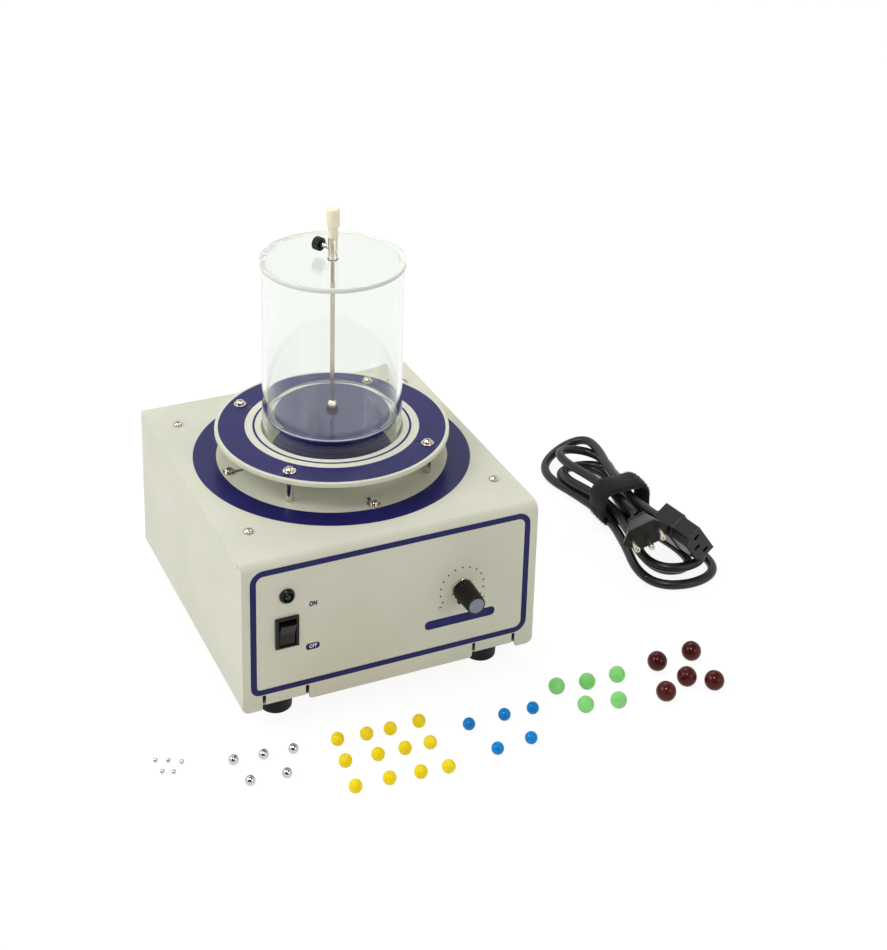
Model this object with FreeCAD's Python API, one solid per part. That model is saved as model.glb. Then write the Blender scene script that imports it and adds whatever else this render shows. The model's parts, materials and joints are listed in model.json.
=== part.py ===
"""Kinetic theory apparatus: a vibrator cabinet with a clear gas-model tube on top.

Origin: on the table, under the middle of the cabinet.  +Z up, front panel
towards -Y, +X to the right of somebody who faces the front panel.
All lengths in millimetres, all angles in degrees.
"""
import FreeCAD, Part
import math
import os

Vector = FreeCAD.Vector
AXIS_X = Vector(1, 0, 0)
AXIS_Y = Vector(0, 1, 0)
AXIS_Z = Vector(0, 0, 1)

# Cabinet: one folded cover over a folded base
cabinet_width = 195.0
cabinet_depth = 207.0
cover_height = 102.5          # lower edge of the front panel to the top
ground_gap = 13.0             # lower edge of the front panel above the table
sheet = 1.2                   # steel sheet thickness
front_bend = 6.0              # outer radius of the bend from top to front
front_corner = 4.5            # rounding of the front panel's lower corners
fold_clearance = 0.3          # base sheet to cover sheet
overshoot = 1.0               # a cut runs this far past the metal on both sides
relief_width = 1.0            # fold relief holes in the sides
relief_height = 3.0
relief_inset = 6.0
tab_width = 30.0              # gap that a front tab is bent through
tab_depth = 24.0
tab_lift = 2.6                # underside of a tab above the front panel's lower edge
tab_bend = 2.0
side_lift = 2.6               # lower edge of the sides above the front panel's
slot_width = 2.2
gap_corner = 2.0              # rounding of the front panel's corners beside a tab
slot_height = 10.2
rear_inset = 0.8              # rear panel inside the cover's rear edge

# Feet
foot_diameter = 20.0
foot_top_diameter = 21.0
foot_side_inset = 27.6
foot_front_inset = 18.8
foot_rear_inset = 20.0
foot_recess = 4.0             # depth of the screw's recess in the foot
foot_recess_diameter = 9.0
foot_chamfer = 1.0

# Screws: shank, head and drive slot
screw_shank = 3.0
screw_head = 6.0
screw_head_height = 2.2
screw_head_shoulder = 0.5     # the head's dome starts this far inside its rim
screw_head_rim = 0.55         # height of the rim, as a share of the head's
cross_width = 0.8
cross_depth = 1.0
cross_margin = 0.7            # head's rim beyond the cross
nut_across = 5.5
nut_height = 2.4
washer_diameter = 8.4
washer_thickness = 0.8
hole_clearance = 0.2          # radial, screw in a plain hole
washer_clearance = 0.1        # radial, screw in a washer
screw_end = 1.0               # thread that shows beyond a nut
cover_screw_length = 8.0
foot_screw_end = 4.0          # from the seat of its nut to its end
inlet_screw_end = 4.0         # behind the rear panel
ring_screw_length = 10.0

# Tower: everything that stands around the driver's axis
tower_x = 1.75
tower_y = 3.75
corner_side_inset = 13.55     # right-hand corner screws from the side
corner_rear_inset = 28.55     # rear corner screws from the rear
pillar_flats = 7.0
pillar_thread = 10.0

# Ring plate on its posts
ring_outer = 75.8             # radius
ring_hole = 45.7              # radius
ring_thickness = 3.0
post_height = 17.6
post_diameter = 5.0
post_circle = 66.0            # radius
post_angle = 45.0             # first post, from +X
post_slot_length = 4.0        # travel of a post in its slot
post_thread = 9.0             # tapped from above
spigot_end = 5.0              # threaded spigot below the driver's flange

# Clear tube with its lid and guide sleeve
tube_outer = 45.0             # radius
tube_wall = 3.0
tube_height = 134.0
lid_radius = 46.0
lid_thickness = 3.0
lid_round = 0.4
sleeve_outer = 3.0            # radius
sleeve_above_lid = 14.5
sleeve_screw_drop = 7.4       # thumb screw axis under the sleeve's end

# Piston
rod_radius = 1.5
rod_clearance = 0.05          # radial, rod in sleeve
piston_radius = 40.5
piston_thickness = 2.5
piston_chamfer = 0.4
piston_height = 32.1          # top of the piston disc above the cabinet top
piston_washer_radius = 4.1
piston_nut_radius = 3.4
piston_nut_height = 6.0
piston_nut_seat = 2.0         # its six-sided part
piston_nut_dome = 3.2         # radius
cap_lower_radius = 3.25
cap_lower_height = 7.2
cap_upper_radius = 4.25
cap_upper_height = 12.2
cap_round = 1.2
cap_step = 0.4                # slope between its two diameters
cap_wall = 2.0                # rubber over the end of the rod

# Thumb screw
thumb_angle = 119.0           # direction of its axis, from +X
thumb_stud_radius = 1.5
thumb_stud_gap = 0.1          # stud to rod
thumb_collar_start = 8.1      # from the rod's axis
thumb_collar_length = 1.0
thumb_collar_radius = 2.6
thumb_grip_length = 5.0
thumb_grip_radius = 4.4
thumb_flutes = 14
thumb_flute_radius = 0.45
thumb_grip_shoulder = 0.6
thumb_grip_nose = 1.6

# Vibrating disc and its drive
disc_radius = 39.0
disc_thickness = 2.5
disc_top = 5.7                # above the cabinet top, at mid travel
disc_hub_radius = 8.0
disc_hub_height = 5.0
disc_round = 0.5
spindle_radius = 4.0
cover_hole = 30.0             # radius of the cover's hole round the spindle
driver_travel = 2.5           # each way

# Driver, a moving-coil vibrator hung under the cabinet top
driver_flange = 75.5          # radius
driver_rim = 59.0             # inner radius of the flange
rim_depth = 4.5               # upright part of the frame under its flange
driver_circle = 70.3          # radius of the screw circle
driver_sheet = 1.5
driver_slot_length = 9.0
driver_slot_width = 2.4
basket_depth = 34.0
basket_floor = 41.0           # radius
basket_hole_gap = 4.0         # coil former to the floor's hole
basket_windows = 6
basket_window_span = 34.0
basket_window_turn = 15.0     # first window, from +X
window_rise = 6.0             # windows above the spider
window_margin = 1.0           # windows below the rim
front_plate_radius = 38.0
front_plate_thickness = 4.0
magnet_radius = 45.0
magnet_thickness = 15.0
magnet_bore = 17.0
back_plate_thickness = 5.0
pole_radius = 12.0
pole_vent = 3.0
pole_rise = 1.0               # above the basket's floor
coil_gap = 0.5                # coil to pole and to front plate
former_wall = 0.7
former_height = 26.0
cone_outer = 53.0
cone_rise = 14.0
cone_wall = 1.0
cone_seat = 3.0               # cone's neck below the former's end
soft_gap = 0.3                # soft rings to the cone
spider_height = 7.0           # above the basket floor
spider_outer = 36.0
spider_wall = 0.8
spider_rolls = 3
spider_roll = 1.4
spider_foot = 2.0
surround_wall = 0.8
hub_plate = 3.0               # disc that closes the former
hub_sink = 1.0                # below the former's end

# Front panel controls
led_side_inset = 28.3
led_z = 90.3
led_radius = 2.5
led_proud = 1.2
led_holder_radius = 4.8
led_holder_proud = 2.6
led_body_radius = 3.9
led_body_length = 9.0
led_clearance = 0.2
led_flange = 0.4
led_flange_thickness = 1.5
led_rim_taper = 0.9
led_mouth = 0.7
switch_side_inset = 28.2
switch_z = 65.1
bezel_width = 15.0
bezel_height = 21.0
bezel_proud = 2.0
bezel_round = 0.8
switch_body_width = 12.8
switch_body_height = 19.0
switch_body_depth = 14.0
switch_wall = 1.0             # beside the rocker
switch_end_wall = 0.4         # above and below it
rocker_clearance = 0.35
rocker_height = 15.7
rocker_proud = 1.0            # rocker ends in front of the bezel, at mid travel
rocker_dip = 1.5              # middle of the rocker, behind its ends
rocker_pivot = 3.0            # pivot axis behind the panel face
rocker_root = 3.0             # depth behind the pivot
rocker_throw = 12.0           # each way from mid travel
rocker_taper = 1.5
switch_tag_width = 4.8
switch_tag_thickness = 0.8
switch_tag_length = 7.0
switch_tag_spacing = 10.0
knob_side_inset = 51.2
knob_z = 66.4
knob_gap = 2.4                # panel to knob, room for the nut
knob_length = 18.6
knob_base_radius = 7.0
knob_front_radius = 6.0
knob_flutes = 20
knob_flute_radius = 0.35
knob_flute_offset = 0.15      # flute's axis outside the knob
knob_edge = 0.5
knob_rim = 0.4
knob_bore_clearance = 0.5     # radial, round the bushing
bushing_end_gap = 0.6
knob_fin_sink = 0.5           # pointer's root inside the knob
knob_cap_radius = 5.2
knob_cap_thickness = 1.0
pointer_reach = 8.8           # from the knob's axis
pointer_length = 3.2
pointer_width = 2.4
pointer_angle = 240.0         # at the minimum, from +X, seen from the front
pot_radius = 8.2
pot_depth = 9.0
pot_end_wall = 2.0
pot_end_gap = 1.0             # shaft to the end wall
pot_lug_width = 14.0
pot_lug_length = 7.0
pot_lug_thickness = 2.0
pot_lug_inset = 2.0
bushing_radius = 4.2
bushing_proud = 5.0
shaft_radius = 3.0
shaft_proud = 15.0
nut_flats = 14.0
nut_thickness = 2.0
nut_turn = 12.0

# Mains inlet with its fuse drawer, in the rear panel
inlet_side_inset = 52.5
inlet_z = 48.0
inlet_flange_width = 50.0
inlet_flange_height = 36.0
inlet_flange_thickness = 3.0
inlet_flange_side = 2.0       # flange beside the body
inlet_ear_tip = 4.0           # half height of a screw ear
inlet_ear_root = 8.0
inlet_body_width = 27.0
inlet_body_height = 32.0
inlet_body_depth = 22.0
inlet_screw_spacing = 40.0
inlet_socket_width = 24.4
inlet_socket_height = 16.6
inlet_socket_depth = 16.0
inlet_socket_drop = 5.2       # socket's middle under the inlet's middle
inlet_bevel = 4.5
inlet_pin_width = 2.0
inlet_pin_height = 4.0
inlet_pin_spacing = 7.0
inlet_pin_length = 12.0
inlet_earth_rise = 4.0
inlet_tail = 8.0              # solder tags behind the inlet
contact_clearance = 0.2
drawer_width = 22.0
drawer_height = 7.6
drawer_depth = 15.0
drawer_rise = 11.0            # drawer's middle over the inlet's middle
drawer_clearance = 0.2
drawer_lip = 1.0
drawer_side_wall = 1.2
drawer_wall = 1.0
drawer_front_wall = 1.5
drawer_grip_width = 10.0
drawer_grip_height = 1.6
drawer_grip_proud = 0.8

# Transformer
transformer_x = -40.0
transformer_rear_gap = 23.7   # core to rear panel
core_width = 54.0
core_height = 45.0
core_stack = 20.0
core_limb = 9.0
winding_bulge = 9.0
winding_gap = 0.3
winding_corner = 4.0
core_foot = 8.0
core_foot_thickness = 1.5

# Circuit board
board_side_gap = 18.5         # board to the cabinet's right side
board_rear_gap = 28.7         # board to the rear panel
board_width = 70.0
board_depth = 40.0
board_thickness = 1.6
board_lift = 8.0
standoff_radius = 3.0
standoff_inset = 4.0
capacitor_radius = 6.0
capacitor_height = 20.0
capacitor_places = ((-20.0, 8.0), (-4.0, 8.0))    # from the board's middle
rectifier_place = (16.0, 8.5)
rectifier_size = (16.0, 5.0, 11.0)
terminal_place = (-15.0, -11.5)
terminal_size = (22.0, 7.0, 9.0)
sink_width = 34.0
sink_height = 24.0
sink_fins = 6
sink_fin = 1.4
sink_fin_depth = 9.0
sink_wall = 2.4
sink_place = (-1.0, -16.0)    # its corner, from the board's middle

# Balls on the table: diameter and places of their middles
small_steel_diameter = 3.0
small_steel_places = ((-154, -109), (-147, -112), (-140, -116), (-153, -120), (-147, -123))
steel_diameter = 6.3
steel_places = ((-112, -128), (-94, -130), (-76, -132), (-109, -149), (-87, -151))
yellow_diameter = 8.3
yellow_places = ((-49, -135), (-31, -137), (-16, -138), (3, -138),
                 (-52, -155), (-32, -157), (-15, -158), (1, -159),
                 (-55, -178), (-34, -179), (-15, -181), (2, -183))
blue_diameter = 7.8
blue_places = ((30, -152), (54, -152), (73, -153), (36, -179), (59, -178))
green_diameter = 10.5
green_places = ((96, -141), (116, -144), (137, -145), (104, -164), (125, -168))
brown_diameter = 12.7
brown_places = ((167, -144), (193, -143), (176, -165), (190, -175), (156, -173))

# Mains lead beside the cabinet: a hank tied at its waist, with its two ends on top
cord_diameter = 6.5
hank_x = 235.3                # middle of the hank
hank_y = 19.6
hank_far_reaches = (97.0, 79.0, 71.0, 84.5)     # loops towards +Y, in winding order
hank_near_reaches = (94.0, 76.0, 85.0)           # loops towards -Y, in winding order
hank_columns = (0.6, 1.6, 1.6, 0.55, 0.55, 1.1, 1.1, 0.6)   # passes at the waist, in pitches
hank_layers = (2, 0, 0, 0, 0, 1, 1, 2)           # layer of each pass
hank_pitch = 7.1              # side by side at the waist
hank_layer_rise = 7.8
hank_bulge = 22.0             # widening of a loop beyond the waist
hank_spread = 3.0             # further widening, for each step out at the waist
hank_veer = 3.0               # both ends of the hank lie this much further towards +X
hank_climb_start = 0.33       # share of a half turn before a loop climbs
hank_steps = 4                # biarcs in a half turn
strap_width = 20.0
strap_thickness = 2.4
strap_clearance = 0.6         # under the waist
strap_slack = 2.6             # beside and above it
strap_y = 4.0                 # strap's middle from the hank's middle
strap_corner = 4.5            # inner rounding

# Connector for the cabinet's inlet, on the lead's first end
connector_face = (245.7, -66.0, 27.2)
connector_azimuth = 6.0       # its axis, to the right of -Y
connector_tilt = 3.0          # its axis, upwards
connector_roll = 125.0        # its contact row, from level
connector_front_width = 24.0
connector_front_height = 16.0
connector_front_length = 18.0
connector_grip_width = 25.5
connector_grip_height = 18.0
connector_grip_length = 20.0
connector_bevel = 4.5
connector_slot_depth = 12.0
relief_start_radius = 5.4     # strain reliefs of both ends
relief_end_radius = 4.2
relief_length = 10.0

# Mains plug with three round pins, on the other end
plug_face = (212.8, -49.2, 33.5)
plug_azimuth = -22.0
plug_tilt = 14.0
plug_roll = 26.0
plug_width = 36.0
plug_height = 16.0
plug_flat = 18.0              # width of the face's upper and lower sides
plug_length = 21.0
plug_waist_width = 22.3       # body where the tail starts
plug_waist_height = 13.6
plug_tail = 9.0               # ribbed part behind the body
plug_tail_width = 13.0
plug_tail_height = 11.0
plug_rib_depth = 1.2
plug_ribs = 2
pin_diameter = 4.0
pin_length = 19.0
pin_round = 1.2
pin_root = 8.0                # part of a pin inside the plug
pin_root_diameter = 3.2
pin_spacing = 9.5             # each outer pin from the middle
pin_offset = 3.0              # middle pin off the line of the outer ones

# Places and heights that follow from the cabinet and the stack
cover_bottom = ground_gap
cover_top = ground_gap + cover_height
tab_underside = cover_bottom + tab_lift
base_top = tab_underside
base_underside = base_top - sheet
cover_underside = cover_top - sheet
side_face = cabinet_width / 2
front_face = -cabinet_depth / 2
rear_face = cabinet_depth / 2 - rear_inset
corner_screw_x = side_face - corner_side_inset - tower_x
corner_screw_y = cabinet_depth / 2 - corner_rear_inset - tower_y
foot_x = side_face - foot_side_inset
led_x = led_side_inset - side_face
switch_x = switch_side_inset - side_face
knob_x = side_face - knob_side_inset
inlet_x = side_face - inlet_side_inset
board_x = side_face - board_side_gap - board_width / 2
board_y = rear_face - board_rear_gap - board_depth / 2
transformer_y = rear_face - transformer_rear_gap - core_stack / 2
ring_top = cover_top + post_height + ring_thickness
tube_top = cover_top + tube_height
lid_top = tube_top + lid_thickness
sleeve_top = lid_top + sleeve_above_lid
piston_top = cover_top + piston_height
piston_bottom = piston_top - piston_thickness
rod_top = sleeve_top + cap_lower_height + cap_upper_height - cap_wall


def box(x0, x1, y0, y1, z0, z1):
    """A block between two corners."""
    return Part.makeBox(x1 - x0, y1 - y0, z1 - z0, Vector(x0, y0, z0))


def rod(radius, length, base, axis=AXIS_Z):
    """A cylinder from its base point along an axis."""
    return Part.makeCylinder(radius, length, Vector(*base), axis)


def ring(inner, outer, height, base, axis=AXIS_Z):
    """A flat ring, a washer or a plain tube."""
    return rod(outer, height, base, axis).cut(rod(inner, height, base, axis))


def prism(points, axis_vector):
    """A polygon in space pushed along a vector."""
    corners = [Vector(*p) for p in points]
    face = Part.Face(Part.makePolygon(corners + corners[:1]))
    return face.extrude(axis_vector)


def hexagon(flats, height, base, axis=AXIS_Z, turn=0.0):
    """A hexagonal bar: its width across flats and its length."""
    radius = flats / 2 / math.cos(math.radians(30))
    corners = []
    for k in range(6):
        angle = math.radians(60 * k + turn)
        corners.append((radius * math.cos(angle), radius * math.sin(angle), 0))
    bar = prism(corners, AXIS_Z * height)
    bar.Placement = FreeCAD.Placement(Vector(*base), FreeCAD.Rotation(AXIS_Z, axis))
    return bar


def turned(profile, base, axis=AXIS_Z):
    """A closed (radius, height) profile turned once round an axis."""
    corners = [Vector(r, 0, h) for r, h in profile]
    face = Part.Face(Part.makePolygon(corners + corners[:1]))
    solid = face.revolve(Vector(0, 0, 0), AXIS_Z, 360)
    solid.Placement = FreeCAD.Placement(Vector(*base), FreeCAD.Rotation(AXIS_Z, axis))
    return solid


def dome_points(radius, height, rise, steps=6):
    """Profile points up a dome: from its rim at a height to its crown on the axis."""
    turns = [math.radians(90 * k / steps) for k in range(steps + 1)]
    side = [(radius * math.cos(turn), height + rise * math.sin(turn)) for turn in turns[:-1]]
    return side + [(0, height + rise)]


def nose(radius, end, size, steps=3):
    """Profile points of a rounded edge, from a cylinder's side to its end face."""
    turns = [math.radians(90 * k / steps) for k in range(steps + 1)]
    return [(radius - size * (1 - math.cos(turn)), end - size * (1 - math.sin(turn))) for turn in turns]


def around(shape, count, centre, axis=AXIS_Z, start=0.0):
    """Copies of a shape spread evenly round an axis."""
    copies = []
    for k in range(count):
        copy = shape.copy()
        copy.rotate(Vector(*centre), axis, start + 360.0 * k / count)
        copies.append(copy)
    return copies


def group(shapes):
    """Separate solids that share one node."""
    return Part.makeCompound(shapes)


def edges_along(shape, axis, point, tolerance=0.01):
    """Straight edges of a shape that run along an axis through a point."""
    found = []
    for edge in shape.Edges:
        if not isinstance(edge.Curve, Part.Line):
            continue
        a, b = edge.Vertexes[0].Point, edge.Vertexes[-1].Point
        if (b - a).cross(axis).Length > tolerance:
            continue
        offset = a - Vector(*point)
        if (offset - axis * offset.dot(axis)).Length < tolerance:
            found.append(edge)
    return found


def on_circle(radius, angle):
    """A point on a circle round the tower's axis."""
    turn = math.radians(angle)
    return tower_x + radius * math.cos(turn), tower_y + radius * math.sin(turn)


def pan_screw(base, axis, length, head=screw_head):
    """A pan head screw with a cross drive: base is the seat of its head."""
    top = screw_head_height
    shoulder = head / 2 - screw_head_shoulder
    profile = [(0, -length), (screw_shank / 2, -length), (screw_shank / 2, 0), (head / 2, 0),
               (head / 2, top * screw_head_rim), (shoulder, top), (0, top)]
    screw = turned(profile, (0, 0, 0))
    reach = head / 2 - cross_margin
    for turn in (0, 90):
        cut = box(-reach, reach, -cross_width / 2, cross_width / 2, top - cross_depth, top + overshoot)
        cut.rotate(Vector(0, 0, 0), AXIS_Z, turn)
        screw = screw.cut(cut)
    screw.Placement = FreeCAD.Placement(Vector(*base), FreeCAD.Rotation(AXIS_Z, axis))
    return screw


def radial_slot(width, inner, outer, z0, z1, angle):
    """A round-ended slot on a ray from the tower's axis."""
    body = box(inner, outer, -width / 2, width / 2, z0, z1)
    body = body.fuse([rod(width / 2, z1 - z0, (inner, 0, z0)), rod(width / 2, z1 - z0, (outer, 0, z0))])
    body.rotate(Vector(0, 0, 0), AXIS_Z, angle)
    body.translate(Vector(tower_x, tower_y, 0))
    return body.removeSplitter()


def pillar_places():
    return [(tower_x + sx * corner_screw_x, tower_y + sy * corner_screw_y)
            for sx in (-1, 1) for sy in (-1, 1)]


def post_places():
    return [on_circle(post_circle, post_angle + 90 * k) for k in range(4)]


def driver_places():
    return [on_circle(driver_circle, 90 * k) for k in range(4)]


def foot_places():
    front = front_face + foot_front_inset
    rear = cabinet_depth / 2 - foot_rear_inset
    return [(sx * foot_x, y) for y in (front, rear) for sx in (-1, 1)]


def inlet_screw_places():
    return [inlet_x + s * inlet_screw_spacing / 2 for s in (-1, 1)]


def folded_block(inset, front_radius, open_edges):
    """The cover's outside, or its inside: a block with a round front-top edge."""
    half = cabinet_width / 2 - inset
    front = front_face + inset
    rear = cabinet_depth / 2 + open_edges
    top = cover_top - inset
    block = box(-half, half, front, rear, cover_bottom - open_edges, top)
    return block.makeFillet(front_radius, edges_along(block, AXIS_X, (0, front, top)))


def front_tab(side):
    """A tab of the front panel, bent in over the base above a foot."""
    half = tab_width / 2 - slot_width
    x0, x1 = side * foot_x - half, side * foot_x + half
    top = cover_bottom + slot_height
    outer = box(x0, x1, front_face, front_face + tab_depth, tab_underside, top)
    outer = outer.makeFillet(tab_bend, edges_along(outer, AXIS_X, (0, front_face, tab_underside)))
    inner_y, inner_z = front_face + sheet, tab_underside + sheet
    inner = box(x0, x1, inner_y, front_face + tab_depth, inner_z, top)
    inner = inner.makeFillet(tab_bend - sheet, edges_along(inner, AXIS_X, (0, inner_y, inner_z)))
    return outer.cut(inner)


def case_cover():
    cover = folded_block(0, front_bend, 0).cut(folded_block(sheet, front_bend - sheet, overshoot))
    through = sheet + 2 * overshoot
    inside = front_face - overshoot
    low = cover_underside - overshoot
    cuts = []
    # The front panel's lower corners, at its ends and beside the tabs
    corners = [(side * side_face, -side, front_corner) for side in (-1, 1)]
    corners += [(side * foot_x + end * tab_width / 2, end, gap_corner) for side in (-1, 1) for end in (-1, 1)]
    for x, inwards, radius in corners:
        x0, x1 = sorted((x, x + inwards * radius))
        square = box(x0, x1, inside, front_face + sheet, cover_bottom - overshoot, cover_bottom + radius)
        centre = (x + inwards * radius, inside - overshoot, cover_bottom + radius)
        cuts.append(square.cut(rod(radius, through + 2 * overshoot, centre, AXIS_Y)))
    # The gap that each tab is bent through, with a relief slot at each end
    for side in (-1, 1):
        x0, x1 = side * foot_x - tab_width / 2, side * foot_x + tab_width / 2
        cuts.append(box(x0, x1, inside, inside + tab_depth,
                        cover_bottom - overshoot, cover_bottom + slot_height))
    # The sides end higher than the front panel
    cuts.append(box(-cabinet_width, cabinet_width, front_face + sheet, cabinet_depth,
                    cover_bottom - overshoot, cover_bottom + side_lift))
    # Fold relief holes near the sides' upper corners
    for y in (front_face + relief_inset, cabinet_depth / 2 - relief_inset):
        z0 = cover_top - sheet - relief_height
        cuts.append(box(-cabinet_width, cabinet_width, y - relief_width / 2, y + relief_width / 2,
                        z0, z0 + relief_height))
    cuts.append(rod(cover_hole, through, (tower_x, tower_y, low)))
    hole = screw_shank / 2 + hole_clearance
    for x, y in pillar_places() + post_places():
        cuts.append(rod(hole, through, (x, y, low)))
    for k in range(4):
        cuts.append(radial_slot(driver_slot_width, driver_circle - driver_slot_length, driver_circle,
                                low, low + through, 90 * k))
        x, y = on_circle(driver_circle, 90 * k)
        cuts.append(rod(hole, through, (x, y, low)))
    cuts.append(rod(led_body_radius + hole_clearance, through, (led_x, inside, led_z), AXIS_Y))
    cuts.append(rod(bushing_radius + hole_clearance, through, (knob_x, inside, knob_z), AXIS_Y))
    half_w = switch_body_width / 2 + hole_clearance
    half_h = switch_body_height / 2 + hole_clearance
    cuts.append(box(switch_x - half_w, switch_x + half_w, inside, inside + through,
                    switch_z - half_h, switch_z + half_h))
    cover = cover.cut(cuts)
    cover = cover.fuse([front_tab(-1), front_tab(1)])
    # The front feet's screws pass through the tabs
    for x, y in foot_places()[:2]:
        cover = cover.cut(rod(hole, through, (x, y, tab_underside - overshoot)))
    return cover.removeSplitter()


def base_chassis():
    """Bottom and rear panel, one sheet bent once, with the board's standoffs."""
    half = cabinet_width / 2 - sheet - fold_clearance
    front = front_face + sheet + tab_bend
    top = cover_underside - fold_clearance
    outer = box(-half, half, front, rear_face, base_underside, top)
    outer = outer.makeFillet(2 * sheet, edges_along(outer, AXIS_X, (0, rear_face, base_underside)))
    inner_y, inner_z = rear_face - sheet, base_top
    inner = box(-half, half, front, inner_y, inner_z, top)
    inner = inner.makeFillet(sheet, edges_along(inner, AXIS_X, (0, inner_y, inner_z)))
    chassis = outer.cut(inner)
    hole = screw_shank / 2 + hole_clearance
    through = sheet + 2 * overshoot
    cuts = [rod(hole, through, (x, y, base_underside - overshoot))
            for x, y in pillar_places() + foot_places()]
    half_w = inlet_body_width / 2 + hole_clearance
    half_h = inlet_body_height / 2 + hole_clearance
    cuts.append(box(inlet_x - half_w, inlet_x + half_w, inner_y - overshoot, rear_face + overshoot,
                    inlet_z - half_h, inlet_z + half_h))
    for x in inlet_screw_places():
        cuts.append(rod(hole, through, (x, inner_y - overshoot, inlet_z), AXIS_Y))
    chassis = chassis.cut(cuts)
    standoffs = [rod(standoff_radius, board_lift, (x, y, base_top)) for x, y in board_corners()]
    return chassis.fuse(standoffs).removeSplitter()


def board_corners():
    half_w = board_width / 2 - standoff_inset
    half_d = board_depth / 2 - standoff_inset
    return [(board_x + sx * half_w, board_y + sy * half_d) for sx in (-1, 1) for sy in (-1, 1)]


def corner_pillars():
    """Hexagonal bars, tapped at both ends, from the base to the cabinet top."""
    pillars = []
    for x, y in pillar_places():
        bar = hexagon(pillar_flats, cover_underside - base_top, (x, y, base_top))
        pillars.append(bar.cut([rod(screw_shank / 2, pillar_thread, (x, y, z))
                                for z in (base_top, cover_underside - pillar_thread)]))
    return group(pillars)


def corner_screws():
    top = [pan_screw((x, y, cover_top), AXIS_Z, cover_screw_length) for x, y in pillar_places()]
    bottom = [pan_screw((x, y, base_underside), AXIS_Z * -1, cover_screw_length) for x, y in pillar_places()]
    return group(top + bottom)


def rubber_feet():
    feet = []
    for x, y in foot_places():
        profile = [(screw_shank / 2, foot_recess), (foot_recess_diameter / 2, foot_recess),
                   (foot_recess_diameter / 2, 0), (foot_diameter / 2 - foot_chamfer, 0),
                   (foot_diameter / 2, foot_chamfer),
                   (foot_top_diameter / 2, base_underside), (screw_shank / 2, base_underside)]
        feet.append(turned(profile, (x, y, 0)))
    return group(feet)


def foot_screws():
    """Screws up through the feet, each with its nut inside the cabinet."""
    pieces = []
    for index, (x, y) in enumerate(foot_places()):
        seat = base_top + (sheet if index < 2 else 0)
        pieces.append(pan_screw((x, y, foot_recess), AXIS_Z * -1, seat + foot_screw_end - foot_recess))
        nut = hexagon(nut_across, nut_height, (x, y, seat))
        pieces.append(nut.cut(rod(screw_shank / 2, nut_height, (x, y, seat))))
    return group(pieces)


def ring_plate():
    z0 = cover_top + post_height
    plate = ring(ring_hole, ring_outer, ring_thickness, (tower_x, tower_y, z0))
    width = screw_shank + 2 * hole_clearance
    slots = [radial_slot(width, post_circle - post_slot_length / 2, post_circle + post_slot_length / 2,
                         z0 - overshoot, ring_top + overshoot, post_angle + 90 * k) for k in range(4)]
    return plate.cut(slots)


def ring_posts():
    """Round posts with a threaded spigot and a nut under the cabinet top."""
    spigot = sheet + driver_sheet + spigot_end
    posts = []
    for x, y in post_places():
        post = rod(post_diameter / 2, post_height, (x, y, cover_top))
        post = post.cut(rod(screw_shank / 2, post_thread, (x, y, cover_top + post_height - post_thread)))
        nut = hexagon(nut_across, nut_height, (x, y, cover_underside - driver_sheet - nut_height))
        post = post.fuse([rod(screw_shank / 2, spigot, (x, y, cover_top - spigot)), nut])
        posts.append(post.removeSplitter())
    return group(posts)


def washers_on(places, z):
    return group([ring(screw_shank / 2 + washer_clearance, washer_diameter / 2, washer_thickness, (x, y, z))
                  for x, y in places])


def screws_on(places, z, length):
    return group([pan_screw((x, y, z), AXIS_Z, length) for x, y in places])


def driver_screws():
    """Screws through the cover's slots, with nuts under the driver's flange."""
    seat = cover_top + washer_thickness
    low = cover_underside - driver_sheet - nut_height
    pieces = [pan_screw((x, y, seat), AXIS_Z, seat - low + screw_end) for x, y in driver_places()]
    for x, y in driver_places():
        nut = hexagon(nut_across, nut_height, (x, y, low))
        pieces.append(nut.cut(rod(screw_shank / 2, nut_height, (x, y, low))))
    return group(pieces)


def tube():
    return ring(tube_outer - tube_wall, tube_outer, tube_height, (tower_x, tower_y, cover_top))


def tube_lid():
    lid = rod(lid_radius, lid_thickness, (tower_x, tower_y, tube_top))
    lid = lid.makeFillet(lid_round, [e for e in lid.Edges if isinstance(e.Curve, Part.Circle)])
    return lid.cut(rod(sleeve_outer, lid_thickness, (tower_x, tower_y, tube_top)))


def thumb_axis():
    turn = math.radians(thumb_angle)
    return Vector(math.cos(turn), math.sin(turn), 0)


def guide_sleeve():
    sleeve = ring(rod_radius + rod_clearance, sleeve_outer, sleeve_top - tube_top,
                  (tower_x, tower_y, tube_top))
    hole = rod(thumb_stud_radius + rod_clearance, sleeve_outer + overshoot,
               (tower_x, tower_y, sleeve_top - sleeve_screw_drop), thumb_axis())
    return sleeve.cut(hole)


def along_thumb(distance):
    """A point on the thumb screw's axis, at a distance from the rod's axis."""
    return Vector(tower_x, tower_y, sleeve_top - sleeve_screw_drop) + thumb_axis() * distance


def thumb_screw_stud():
    start = rod_radius + thumb_stud_gap
    end = thumb_collar_start + thumb_collar_length + thumb_grip_length / 2
    return rod(thumb_stud_radius, end - start, along_thumb(start), thumb_axis())


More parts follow.
